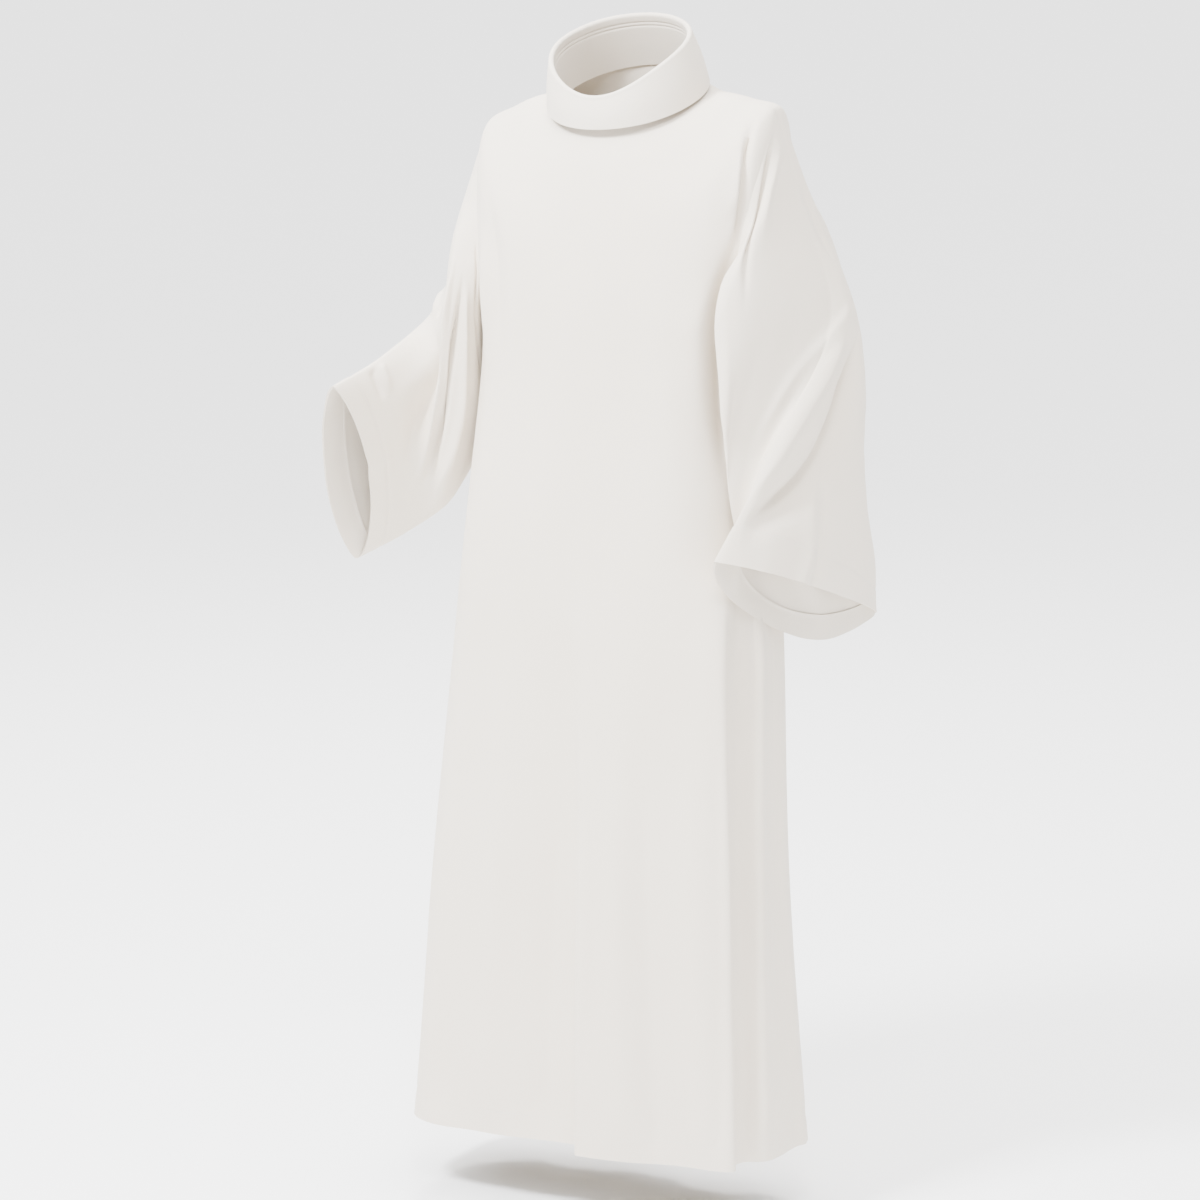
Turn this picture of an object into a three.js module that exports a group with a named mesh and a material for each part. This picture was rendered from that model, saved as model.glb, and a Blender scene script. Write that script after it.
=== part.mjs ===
// Alb: an ankle-length vestment with a roll collar and wide sleeves, in its hollow worn form.
// Millimetres, +Z up, the front towards -Y, the wearer's left towards +X.
// Origin: the middle of the neck opening, level with the foot of the collar, where it is held.
import * as THREE from 'three';

// ---- Driving dimensions --------------------------------------------------------------------
const WALL = 1.6;                 // cloth, one layer with its drape
const HEM_WALL = 1.2;             // the turned-up layer inside a hem
const SEAM_GAP = 0.3;             // between two pieces at a seam
const HEM_GAP = 0.5;              // between the cloth and its turned-up layer
const NECK_TILT = 24;             // degrees, the collar's axis leans forward
const NECK_RADIUS = 100;          // neckline seam
const NECK_SEAM_HEIGHT = -12;     // neckline seam, along the collar's axis from the origin
const CUFF_HEM_PLACE = 0.93;       // where the turned-up cuff hem begins, along the sleeve
const FOOT_HEM = 36;              // turned up inside the foot hem

const COLLAR = {
  fallFootHeight: -8,             // lower edge of the fall, along the collar's axis
  fallFootRadius: 111,
  foldRadius: 97,                 // outside of the top fold
  height: 72,                     // fall, at the sides and back
  throatDip: 32,                  // how much lower the top fold is at the throat
  throatSharpness: 5,
  layerGap: 1.4,                  // air between stand and fall, just under the fold
};

// Body rings from neckline to hem. path: distance down the side; the other columns are the ring's
// heights at the side, front and back, its roll to the wearer's left, its half widths, its depths
// before and behind the side line (which lies at sideY), and its squareness (2 is an ellipse).
const BODY_RINGS = [
  { path: 0, side: -11, front: -51.7, back: 29.7, roll: 0,
    left: 100, right: 100, fore: 91.4, aft: 91.4, sideY: 4.9, square: 2 },
  { path: 35, side: -18, front: -88, back: -8, roll: 2,
    left: 133, right: 133, fore: 107, aft: 102, sideY: 6, square: 2.1 },
  { path: 75, side: -26, front: -124, back: -56, roll: 6,
    left: 172, right: 172, fore: 116, aft: 115, sideY: 8, square: 2.2 },
  { path: 120, side: -36, front: -166, back: -110, roll: 10,
    left: 215, right: 213, fore: 123, aft: 122, sideY: 10, square: 2.4 },
  { path: 200, side: -116, front: -222, back: -178, roll: 6,
    left: 220, right: 218, fore: 129, aft: 130, sideY: 12, square: 2.6 },
  { path: 300, side: -215, front: -288, back: -258, roll: 2,
    left: 210, right: 216, fore: 134, aft: 132, sideY: 16, square: 2.7 },
  { path: 440, side: -345, front: -362, back: -356, roll: 0,
    left: 192, right: 212, fore: 140, aft: 125, sideY: 25, square: 2.8 },
  { path: 620, side: -525, front: -532, back: -530, roll: 0,
    left: 192, right: 234, fore: 138, aft: 120, sideY: 28, square: 2.9 },
  { path: 830, side: -735, front: -736, back: -738, roll: 0,
    left: 205, right: 262, fore: 136, aft: 122, sideY: 30, square: 3 },
  { path: 1180, side: -1085, front: -1084, back: -1096, roll: 0,
    left: 213, right: 300, fore: 136, aft: 132, sideY: 32, square: 3.4 },
  { path: 1550, side: -1458, front: -1454, back: -1482, roll: 4,
    left: 234, right: 332, fore: 134, aft: 146, sideY: 34, square: 3.8 },
];
const SHOULDER_TIP = 120;         // path at the top of the armhole
const ARMPIT = 440;               // path at its foot
const HEM = 1550;
const HEM_HEIGHT = -1458;
const ARMHOLE_REACH = 0.3;        // how far along a sleeve its ring keeps the armhole's shape
const SEAM_FADE = 6;              // folds fade over this part of a panel's half width: 1 / 6

// Armhole edges: how far the panels stop short of the side line, measured round the ring.
const ARMHOLE = [
  { path: 120, front: 0, back: 0 },
  { path: 180, front: 62, back: 48 },
  { path: 250, front: 88, back: 66 },
  { path: 330, front: 84, back: 62 },
  { path: 400, front: 48, back: 36 },
  { path: 440, front: 0, back: 0 },
];

// Folds of the body. top and hem: place in mm round the ring from the panel's centre line, towards
// the wearer's left; from and full: heights where the fold begins and has its whole depth; depth is
// outwards; near and far: half widths on the wearer's right and left of the fold line.
const FRONT_FOLDS = [
  { top: -6, hem: -16, from: -560, full: -1250, depth: 22, near: 13, far: 130 },
  { top: -32, hem: -43, from: -560, full: -1250, depth: -22, near: 150, far: 15 },
  { top: 186, hem: 204, from: -590, full: -760, depth: 14, near: 34, far: 16 },
  { top: 216, hem: 236, from: -590, full: -760, depth: -15, near: 15, far: 20 },
  { top: -170, hem: -215, from: -420, full: -900, depth: -6, near: 40, far: 40 },
  { top: 95, hem: 112, from: -500, full: -1100, depth: -6, near: 45, far: 45 },
];
const BACK_FOLDS = [
  { top: 10, hem: 18, from: -260, full: -900, depth: -16, near: 38, far: 52 },
  { top: 88, hem: 104, from: -300, full: -800, depth: 12, near: 30, far: 40 },
  { top: -74, hem: -96, from: -300, full: -1000, depth: 10, near: 42, far: 30 },
  { top: -150, hem: -196, from: -380, full: -900, depth: -12, near: 40, far: 34 },
  { top: 160, hem: 190, from: -420, full: -1000, depth: -9, near: 40, far: 34 },
];

// Sleeve sections from the armhole to the cuff: the fold along the top, the side towards the
// chest, the fold underneath and the side away from the chest. lens is 0 for a round section
// and 1 for one that closes to a crease at its top and underneath.
const LEFT_SECTIONS = [
  { along: 0.3, lens: 0, top: [248, 30, -165], chest: [203, -90, -300],
    under: [214, 50, -430], away: [252, 116, -290] },
  { along: 0.55, lens: 0, top: [276, 52, -302], chest: [206, -88, -420],
    under: [240, 92, -530], away: [296, 124, -420] },
  { along: 0.8, lens: 0.15, top: [240, -52, -474], chest: [214, -30, -600],
    under: [290, 156, -632], away: [296, 68, -540] },
  { along: 1, lens: 0.3, top: [190, -118, -612], chest: [226, 62, -736],
    under: [290, 180, -717], away: [268, -14, -648] },
];
const RIGHT_SECTIONS = [
  { along: 0.3, lens: 0, top: [-258, 12, -170], chest: [-228, -82, -300],
    under: [-238, 30, -470], away: [-266, 98, -290] },
  { along: 0.55, lens: 0, top: [-296, 4, -296], chest: [-245, -80, -410],
    under: [-286, 26, -568], away: [-312, 74, -400] },
  { along: 0.8, lens: 0.15, top: [-316, -115, -364], chest: [-292, -80, -480],
    under: [-342, 0, -620], away: [-356, -44, -480] },
  { along: 1, lens: 0.3, top: [-326, -232, -396], chest: [-335, -126, -528],
    under: [-416, -30, -664], away: [-399, -136, -540] },
];

// Mesh density
const SHOULDER_ROWS = 4;
const ARMHOLE_ROWS = 12;
const SKIRT_ROWS = 11;
const FRONT_COLUMNS = 24;
const BACK_COLUMNS = 18;
const SLEEVE_ROWS = 14;
const COLLAR_COLUMNS = 36;
const RING_SAMPLES = 180;

const RIGHT_ANGLE = Math.PI / 2;
const smooth = THREE.MathUtils.smoothstep;

// ---- Reading the tables --------------------------------------------------------------------
// Smooth value of one column at a place between rows: a cubic through the row and its neighbours.
function read(table, key, place, column) {
  const last = table.length - 1;
  let row = 0;
  while (row < last - 1 && place > table[row + 1][key]) row += 1;
  const slope = (i) => {
    const before = table[Math.max(i - 1, 0)];
    const after = table[Math.min(i + 1, last)];
    return (after[column] - before[column]) / (after[key] - before[key]);
  };
  const start = table[row];
  const end = table[row + 1];
  const span = end[key] - start[key];
  const t = (place - start[key]) / span;
  const t2 = t * t;
  const t3 = t2 * t;
  return (2 * t3 - 3 * t2 + 1) * start[column] + (t3 - 2 * t2 + t) * span * slope(row)
    + (3 * t2 - 2 * t3) * end[column] + (t3 - t2) * span * slope(row + 1);
}

const signedPower = (value, power) => Math.sign(value) * Math.abs(value) ** power;

// ---- The body's surface --------------------------------------------------------------------
// angle 0 is the centre front, a quarter turn the wearer's left side, a half turn the back.
function bodyPoint(path, angle) {
  const ring = (column) => read(BODY_RINGS, 'path', path, column);
  const exponent = 2 / ring('square');
  const across = signedPower(Math.sin(angle), exponent);
  const forward = signedPower(Math.cos(angle), exponent);
  const x = across * (across > 0 ? ring('left') : ring('right'));
  const y = ring('sideY') - forward * (forward > 0 ? ring('fore') : ring('aft'));
  const tilt = (ring('front') - ring('back')) / 2;
  const arch = (ring('front') + ring('back')) / 2 - ring('side');
  const aside = Math.sin(angle);
  const z = ring('side') + ring('roll') * aside + tilt * Math.cos(angle) + arch * (1 - aside ** 4);
  return new THREE.Vector3(x, y, z);
}

function bodyNormal(path, angle) {
  const turn = 0.01;
  const step = 1;
  const above = bodyPoint(Math.max(path - step, 0), angle);
  const round = bodyPoint(path, angle + turn).sub(bodyPoint(path, angle - turn));
  const down = bodyPoint(Math.min(path + step, HEM), angle).sub(above);
  return down.cross(round).normalize();
}

// A half ring of the body, from the wearer's right side line to the left one, by its length.
// centre is the angle of the panel's centre line; hand is +1 on the front and -1 on the back.
function halfRing(path, centre, hand) {
  const angles = [];
  const lengths = [0];
  let before = null;
  for (let i = 0; i <= RING_SAMPLES; i += 1) {
    const angle = centre + hand * RIGHT_ANGLE * (2 * i / RING_SAMPLES - 1);
    const point = bodyPoint(path, angle);
    angles.push(angle);
    if (before) lengths.push(lengths[i - 1] + point.distanceTo(before));
    before = point;
  }
  const middle = lengths[RING_SAMPLES / 2];
  const angleAt = (place) => {
    const length = THREE.MathUtils.clamp(place + middle, 0, lengths[RING_SAMPLES]);
    let i = 0;
    while (i < RING_SAMPLES - 1 && lengths[i + 1] < length) i += 1;
    const part = (length - lengths[i]) / (lengths[i + 1] - lengths[i]);
    return angles[i] + (angles[i + 1] - angles[i]) * part;
  };
  return { rightEnd: -middle, leftEnd: lengths[RING_SAMPLES] - middle, angleAt };
}

function foldDepth(folds, place, point) {
  let depth = 0;
  for (const fold of folds) {
    const fall = THREE.MathUtils.clamp((fold.from - point.z) / (fold.from - HEM_HEIGHT), 0, 1);
    const line = fold.top + (fold.hem - fold.top) * fall;
    const away = place - line;
    const width = away < 0 ? fold.near : fold.far;
    const grown = smooth(-point.z, -fold.from, -fold.full);
    depth += fold.depth * grown * Math.exp(-((away / width) ** 2));
  }
  return depth;
}

// Where the columns of a panel lie, from -1 to 1: even steps, with the nearest column moved onto
// each fold line so that a fold keeps its crest.
function columnPlaces(folds, count, halfWidth) {
  const places = Array.from({ length: count + 1 }, (_, i) => 2 * i / count - 1);
  for (const fold of folds) {
    const target = fold.hem / halfWidth;
    let nearest = 1;
    for (let i = 1; i < count; i += 1) {
      if (Math.abs(places[i] - target) < Math.abs(places[nearest] - target)) nearest = i;
    }
    places[nearest] = target;
  }
  return places.sort((a, b) => a - b);
}

// The paths of the panel's rows: over the shoulder, down the armhole, down the skirt.
function rowPaths() {
  const paths = [];
  const spread = (from, to, count) => {
    for (let i = 0; i < count; i += 1) paths.push(from + (to - from) * i / count);
  };
  spread(0, SHOULDER_TIP, SHOULDER_ROWS);
  spread(SHOULDER_TIP, ARMPIT, ARMHOLE_ROWS);
  spread(ARMPIT, HEM - FOOT_HEM, SKIRT_ROWS - 1);
  paths.push(HEM - FOOT_HEM, HEM);
  return paths;
}
const PATHS = rowPaths();
const FIRST_ARMHOLE_ROW = SHOULDER_ROWS;
const LAST_ARMHOLE_ROW = SHOULDER_ROWS + ARMHOLE_ROWS;

// Outer points and side normals of a panel. side is 'front' or 'back'.
function panelSurface(side) {
  const isFront = side === 'front';
  const centre = isFront ? 0 : 2 * RIGHT_ANGLE;
  const hand = isFront ? 1 : -1;
  const folds = isFront ? FRONT_FOLDS : BACK_FOLDS;
  const count = isFront ? FRONT_COLUMNS : BACK_COLUMNS;
  const hemRing = halfRing(HEM, centre, hand);
  const places = columnPlaces(folds, count, (hemRing.leftEnd - hemRing.rightEnd) / 2);
  const points = [];
  const ends = [];
  for (const path of PATHS) {
    const ring = halfRing(path, centre, hand);
    const inArmhole = path > SHOULDER_TIP && path < ARMPIT;
    const cut = inArmhole ? read(ARMHOLE, 'path', path, side) : 0;
    const stop = cut + SEAM_GAP / 2;
    const leftEnd = ring.leftEnd - stop;
    const rightEnd = ring.rightEnd + stop;
    const row = places.map((place) => {
      const along = place > 0 ? place * leftEnd : -place * rightEnd;
      const angle = ring.angleAt(along);
      const point = bodyPoint(path, angle);
      const edge = Math.min(1, (1 - Math.abs(place)) * SEAM_FADE);
      const depth = foldDepth(folds, along, point) * edge;
      const outward = bodyNormal(path, angle).setZ(0).normalize();
      return point.addScaledVector(outward, depth);
    });
    points.push(row);
    ends.push({
      right: bodyNormal(path, ring.angleAt(rightEnd)),
      left: bodyNormal(path, ring.angleAt(leftEnd)),
    });
  }
  return { points, ends };
}

// ---- Walls ---------------------------------------------------------------------------------
// Normals of a grid of points; the rows run down, the columns run round to the wearer's left.
// Each is longer than 1 where the grid turns sharply, so that an offset keeps its distance from
// the faces and not from the corner.
const LONGEST_MITRE = 1.8;
const CELLS_ROUND = [[-1, -1], [-1, 1], [1, -1], [1, 1]];

function gridNormals(points, closedRound, flip) {
  const rows = points.length;
  const columns = points[0].length;
  const pick = (r, c) => points[THREE.MathUtils.clamp(r, 0, rows - 1)][
    closedRound ? (c + columns) % columns : THREE.MathUtils.clamp(c, 0, columns - 1)];
  return points.map((row, r) => row.map((here, c) => {
    const faces = [];
    for (const [down, round] of CELLS_ROUND) {
      const face = pick(r + down, c).clone().sub(here)
        .cross(pick(r, c + round).clone().sub(here))
        .multiplyScalar(down * round);
      if (face.lengthSq() > 0) faces.push(face.normalize());
    }
    const middle = faces.reduce((sum, face) => sum.add(face), new THREE.Vector3()).normalize();
    const flattest = Math.min(...faces.map((face) => face.dot(middle)));
    const mitre = 1 / Math.max(flattest, 1 / LONGEST_MITRE);
    return middle.multiplyScalar(mitre * flip);
  }));
}

function offsetGrid(points, normals, distance) {
  return points.map((row, r) => row.map((point, c) => (
    point.clone().addScaledVector(normals[r][c], distance))));
}

// A closed solid between two grids of the same size. Each four-cornered cell is split along the
// shorter diagonal of the same cell of the guide, so that layers over one another fold alike.
function wallGeometry(outer, inner, closedRound, guide = outer) {
  const rows = outer.length;
  const columns = outer[0].length;
  const corners = [...outer.flat(), ...inner.flat()];
  const guides = guide.flat();
  const index = [];
  const at = (layer, r, c) => layer * rows * columns + r * columns + (c % columns);
  const isShorter = (points, a, b, c, d) => (
    points[a].distanceTo(points[c]) <= points[b].distanceTo(points[d]));
  const quad = (a, b, c, d, alongFirst = isShorter(corners, a, b, c, d)) => {
    if (alongFirst) index.push(a, b, c, a, c, d);
    else index.push(a, b, d, b, c, d);
  };
  const steps = closedRound ? columns : columns - 1;
  for (let c = 0; c < steps; c += 1) {
    for (let r = 0; r < rows - 1; r += 1) {
      const face = [at(0, r, c), at(0, r + 1, c), at(0, r + 1, c + 1), at(0, r, c + 1)];
      const alongFirst = isShorter(guides, ...face);
      quad(...face, alongFirst);
      quad(at(1, r, c + 1), at(1, r + 1, c + 1), at(1, r + 1, c), at(1, r, c), !alongFirst);
    }
    quad(at(0, 0, c), at(0, 0, c + 1), at(1, 0, c + 1), at(1, 0, c));
    quad(at(0, rows - 1, c + 1), at(0, rows - 1, c), at(1, rows - 1, c), at(1, rows - 1, c + 1));
  }
  if (!closedRound) {
    for (let r = 0; r < rows - 1; r += 1) {
      const end = columns - 1;
      quad(at(0, r + 1, 0), at(0, r, 0), at(1, r, 0), at(1, r + 1, 0));
      quad(at(0, r, end), at(0, r + 1, end), at(1, r + 1, end), at(1, r, end));
    }
  }
  return solidGeometry(corners.flatMap((point) => point.toArray()), index);
}

// Faces are turned outwards by the sign of the enclosed volume.
function solidGeometry(positions, index) {
  let volume = 0;
  const corner = (i) => new THREE.Vector3().fromArray(positions, index[i] * 3);
  for (let i = 0; i < index.length; i += 3) {
    volume += corner(i).dot(corner(i + 1).cross(corner(i + 2)));
  }
  if (volume < 0) index.reverse();
  const geometry = new THREE.BufferGeometry();
  geometry.setAttribute('position', new THREE.Float32BufferAttribute(positions, 3));
  geometry.setIndex(index);
  geometry.computeVertexNormals();
  return geometry;
}

// ---- The sleeves' surface ------------------------------------------------------------------
// The armhole runs from the shoulder tip down the front panel's edge to the armpit and back up.
function armholeRing(front, back, hand) {
  const edge = (panel, row) => {
    const points = panel.points[row];
    return points[hand > 0 ? points.length - 1 : 0];
  };
  const ring = [];
  for (let row = FIRST_ARMHOLE_ROW; row < LAST_ARMHOLE_ROW; row += 1) ring.push(edge(front, row));
  for (let row = LAST_ARMHOLE_ROW; row > FIRST_ARMHOLE_ROW; row -= 1) ring.push(edge(back, row));
  const middle = (a, b) => a.clone().add(b).multiplyScalar(0.5);
  ring[0] = middle(edge(front, FIRST_ARMHOLE_ROW), edge(back, FIRST_ARMHOLE_ROW));
  ring[ARMHOLE_ROWS] = middle(edge(front, LAST_ARMHOLE_ROW), edge(back, LAST_ARMHOLE_ROW));
  return ring.map((point) => point.clone());
}

// A ring through four marks: top, chest side, underneath and away side. turn runs from 0 at the
// top to a half turn underneath on the chest side, and on to a whole turn.
function markedRing(marks, lens, turn) {
  const middle = marks.top.clone().add(marks.under).multiplyScalar(0.5);
  const reach = marks.top.clone().sub(middle);
  const side = (turn <= Math.PI ? marks.chest : marks.away).clone().sub(middle);
  const lean = side.clone().projectOnVector(reach);
  const fromTop = turn <= Math.PI ? turn : 2 * Math.PI - turn;
  const round = Math.cos(fromTop);
  const straight = 1 - 2 * fromTop / Math.PI;
  const across = round + (straight - round) * lens;
  const bulge = Math.max(0, 1 - across * across) ** ((1 + lens) / 2);
  return middle
    .addScaledVector(reach, across)
    .addScaledVector(side.sub(lean), bulge)
    .addScaledVector(lean, bulge ** 3);
}

const MARKS = ['top', 'chest', 'under', 'away'];
const AXES = ['x', 'y', 'z'];

function sleeveSurface(name, front, back) {
  const hand = name === 'left' ? 1 : -1;
  const armhole = armholeRing(front, back, hand);
  const columns = armhole.length;
  const quarter = columns / 4;
  const start = { along: 0, lens: 0 };
  MARKS.forEach((mark, i) => {
    start[mark] = armhole[i * quarter].toArray();
  });
  const sections = [start, ...(hand > 0 ? LEFT_SECTIONS : RIGHT_SECTIONS)].map((section) => {
    const columns = { along: section.along, lens: section.lens };
    for (const mark of MARKS) {
      AXES.forEach((axis, i) => {
        columns[mark + axis] = section[mark][i];
      });
    }
    return columns;
  });
  const marksAt = (along) => Object.fromEntries(MARKS.map((mark) => {
    const [x, y, z] = AXES.map((axis) => read(sections, 'along', along, mark + axis));
    return [mark, new THREE.Vector3(x, y, z)];
  }));
  const points = [];
  for (let r = 0; r <= SLEEVE_ROWS; r += 1) {
    const along = sleevePlace(r);
    const marks = marksAt(along);
    const lens = read(sections, 'along', along, 'lens');
    const first = marksAt(0);
    const armholeShare = 1 - smooth(along, 0, ARMHOLE_REACH);
    points.push(armhole.map((seam, c) => {
      const turn = c * 2 * Math.PI / columns;
      const shift = seam.clone().sub(markedRing(first, 0, turn));
      return markedRing(marks, lens, turn).addScaledVector(shift, armholeShare);
    }));
  }
  return { points, armhole, hand };
}

// The last row is the cuff's edge and the one before it the top of the cuff's hem.
function sleevePlace(row) {
  return row === SLEEVE_ROWS ? 1 : CUFF_HEM_PLACE * row / (SLEEVE_ROWS - 1);
}

// ---- Seams ---------------------------------------------------------------------------------
// At the armhole both walls end on one mitre, and the sleeve starts a seam's gap further out.
function joinSleeve(sleeve, front, back) {
  const { points, armhole, hand } = sleeve;
  const columns = armhole.length;
  const side = hand > 0 ? 'left' : 'right';
  const normals = gridNormals(points, true, -hand);
  const seams = armhole.map((_, c) => armhole[(c + 1) % columns].clone()
    .sub(armhole[(c - 1 + columns) % columns]).normalize());
  const bodyPlace = (c) => {
    const onFront = c <= ARMHOLE_ROWS;
    const row = FIRST_ARMHOLE_ROW + (onFront ? c : columns - c);
    return { panel: onFront ? front : back, row };
  };
  const mitres = armhole.map((point, c) => {
    const { panel, row } = bodyPlace(c);
    const bodyOut = panel.ends[row][side];
    const sleeveOut = normals[0][c].clone().normalize();
    const bodyOn = intoPanel(panel, row, hand).sub(point).projectOnPlane(seams[c]).normalize();
    const sleeveOn = points[1][c].clone().sub(point).projectOnPlane(seams[c]).normalize();
    const hollow = bodyOn.dot(sleeveOut) > 0 ? 1 : -1;
    return bodyOut.clone().add(sleeveOut).addScaledVector(bodyOn.add(sleeveOn), hollow).normalize();
  });
  points[0] = armhole.map((point, c) => {
    const away = mitres[c].clone().cross(seams[c]).normalize();
    if (away.dot(points[1][c].clone().sub(point)) < 0) away.negate();
    return point.clone().addScaledVector(away, SEAM_GAP);
  });
  for (let c = 0; c < columns; c += 1) {
    const { panel, row } = bodyPlace(c);
    panel.ends[row][side] = mitres[c];
    if (c % ARMHOLE_ROWS === 0) back.ends[row][side] = mitres[c];
  }
  normals[0] = mitres;
  return { points, normals };
}

// A point of the panel next to its edge: above the shoulder tip, below the armpit, else inside.
function intoPanel(panel, row, hand) {
  const isTip = row === FIRST_ARMHOLE_ROW;
  const isArmpit = row === LAST_ARMHOLE_ROW;
  const points = panel.points[isTip ? row - 1 : row + (isArmpit ? 1 : 0)];
  const inside = isTip || isArmpit ? 0 : 1;
  return points[hand > 0 ? points.length - 1 - inside : inside].clone();
}

function panelNormals(panel, flip) {
  const normals = gridNormals(panel.points, false, flip);
  normals.forEach((row, r) => {
    row[0] = panel.ends[r].right;
    row[row.length - 1] = panel.ends[r].left;
  });
  return normals;
}

// ---- Pieces --------------------------------------------------------------------------------
function clothWall({ points, normals }, closedRound) {
  return wallGeometry(points, offsetGrid(points, normals, -WALL), closedRound);
}

// The turned-up layer lies inside the wall, over the last two rows of its grid.
function hemBand({ points, normals }, closedRound) {
  const rows = points.slice(-2);
  const sides = normals.slice(-2);
  const outer = offsetGrid(rows, sides, -(WALL + HEM_GAP));
  const inner = offsetGrid(rows, sides, -(WALL + HEM_GAP + HEM_WALL));
  return wallGeometry(outer, inner, closedRound, rows);
}

// The collar is one folded wall: each section runs up the fall, over the fold, down the stand's
// inside and back up between the layers. Sections are pairs of radius and height on its axis.
function collarSection(angle) {
  const { fallFootHeight, fallFootRadius, foldRadius, height, throatDip } = COLLAR;
  const dip = throatDip * ((1 + Math.cos(angle)) / 2) ** COLLAR.throatSharpness;
  const top = fallFootHeight + height - dip;
  const seam = NECK_SEAM_HEIGHT + SEAM_GAP;
  const roll = 1.2;                                     // rounding of the top fold
  const rim = 4;                                        // how far down the rounding reaches
  const bow = 1.5;                                      // outward bow of the fall
  const standTop = foldRadius - 2 * WALL - COLLAR.layerGap;
  const middle = (from, to) => (from + to) / 2;
  return [
    [fallFootRadius, fallFootHeight],
    [middle(fallFootRadius, foldRadius) + bow, middle(fallFootHeight, top - rim)],
    [foldRadius, top - rim],
    [foldRadius - roll / 2, top - roll],
    [middle(foldRadius, standTop), top],
    [standTop + roll / 2, top - roll],
    [standTop, top - rim],
    [middle(standTop, NECK_RADIUS - WALL), middle(top - rim, seam)],
    [NECK_RADIUS - WALL, seam],
    [NECK_RADIUS, seam],
    [middle(standTop + WALL, NECK_RADIUS), middle(top - rim, seam)],
    [standTop + WALL, top - rim - roll],
    [middle(foldRadius, standTop), top - rim],
    [foldRadius - WALL, top - rim - roll],
    [middle(fallFootRadius, foldRadius) + bow - WALL, middle(fallFootHeight, top - rim)],
    [fallFootRadius - WALL, fallFootHeight],
  ];
}

function collarGeometry() {
  const tilt = THREE.MathUtils.degToRad(NECK_TILT);
  const axis = new THREE.Vector3(0, -Math.sin(tilt), Math.cos(tilt));
  const forward = new THREE.Vector3(0, -Math.cos(tilt), -Math.sin(tilt));
  const positions = [];
  const index = [];
  let size = 0;
  for (let c = 0; c < COLLAR_COLUMNS; c += 1) {
    const angle = 2 * Math.PI * c / COLLAR_COLUMNS;
    const section = collarSection(angle);
    size = section.length;
    for (const [radius, height] of section) {
      const point = new THREE.Vector3(radius * Math.sin(angle), 0, 0)
        .addScaledVector(forward, radius * Math.cos(angle))
        .addScaledVector(axis, height);
      positions.push(point.x, point.y, point.z);
    }
  }
  const at = (c, i) => (c % COLLAR_COLUMNS) * size + (i % size);
  for (let c = 0; c < COLLAR_COLUMNS; c += 1) {
    for (let i = 0; i < size; i += 1) {
      index.push(at(c, i), at(c + 1, i), at(c + 1, i + 1));
      index.push(at(c, i), at(c + 1, i + 1), at(c, i + 1));
    }
  }
  return solidGeometry(positions, index);
}

// ---- The garment ---------------------------------------------------------------------------
const CLOTH = { color: 0xf1eeea, roughness: 0.85, metalness: 0 };

function piece(name, geometry) {
  const mesh = new THREE.Mesh(geometry, new THREE.MeshStandardMaterial(CLOTH));
  mesh.name = name;
  return mesh;
}

const front = panelSurface('front');
const back = panelSurface('back');
const sleeveLeft = joinSleeve(sleeveSurface('left', front, back), front, back);
const sleeveRight = joinSleeve(sleeveSurface('right', front, back), front, back);
const frontCloth = { points: front.points, normals: panelNormals(front, 1) };
const backCloth = { points: back.points, normals: panelNormals(back, -1) };

const alb = new THREE.Group();
alb.add(
  piece('front_panel', clothWall(frontCloth, false)),
  piece('back_panel', clothWall(backCloth, false)),
  piece('sleeve_left', clothWall(sleeveLeft, true)),
  piece('sleeve_right', clothWall(sleeveRight, true)),
  piece('collar', collarGeometry()),
  piece('cuff_hem_left', hemBand(sleeveLeft, true)),
  piece('cuff_hem_right', hemBand(sleeveRight, true)),
  piece('hem_front', hemBand(frontCloth, false)),
  piece('hem_back', hemBand(backCloth, false)),
);

export default alb;
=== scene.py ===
# Alb: the cloth, stitching and stage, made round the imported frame. Metres, +Z up, front to -Y.
import math

import bpy
import numpy as np
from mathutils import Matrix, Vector


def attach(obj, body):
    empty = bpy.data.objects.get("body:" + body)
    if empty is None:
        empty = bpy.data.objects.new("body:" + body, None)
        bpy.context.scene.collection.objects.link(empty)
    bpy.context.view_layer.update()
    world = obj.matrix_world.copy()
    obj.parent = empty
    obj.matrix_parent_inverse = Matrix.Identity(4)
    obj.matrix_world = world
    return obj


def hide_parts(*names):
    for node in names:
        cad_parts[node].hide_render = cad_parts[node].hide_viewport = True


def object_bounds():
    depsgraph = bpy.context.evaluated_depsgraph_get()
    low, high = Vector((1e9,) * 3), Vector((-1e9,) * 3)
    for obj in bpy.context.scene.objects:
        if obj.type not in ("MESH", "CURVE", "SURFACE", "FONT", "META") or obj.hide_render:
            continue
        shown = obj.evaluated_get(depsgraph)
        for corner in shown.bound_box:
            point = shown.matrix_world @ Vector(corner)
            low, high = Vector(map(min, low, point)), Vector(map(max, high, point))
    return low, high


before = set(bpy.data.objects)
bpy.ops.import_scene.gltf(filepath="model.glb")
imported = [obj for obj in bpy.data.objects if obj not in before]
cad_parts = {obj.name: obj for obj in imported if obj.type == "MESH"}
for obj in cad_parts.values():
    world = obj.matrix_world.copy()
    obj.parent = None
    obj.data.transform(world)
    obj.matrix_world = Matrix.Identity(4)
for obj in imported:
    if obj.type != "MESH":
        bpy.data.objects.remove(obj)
CAD_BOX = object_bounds()

bl_info = {
    "name": "Alb",
    "version": (1, 0, 0),
    "blender": (4, 5, 0),
    "location": "View3D > Sidebar > Alb",
    "description": "Makes an alb: panels, sleeves, roll collar, hems, stitching and a stage",
    "category": "Add Mesh",
}

MM = 0.001

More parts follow.
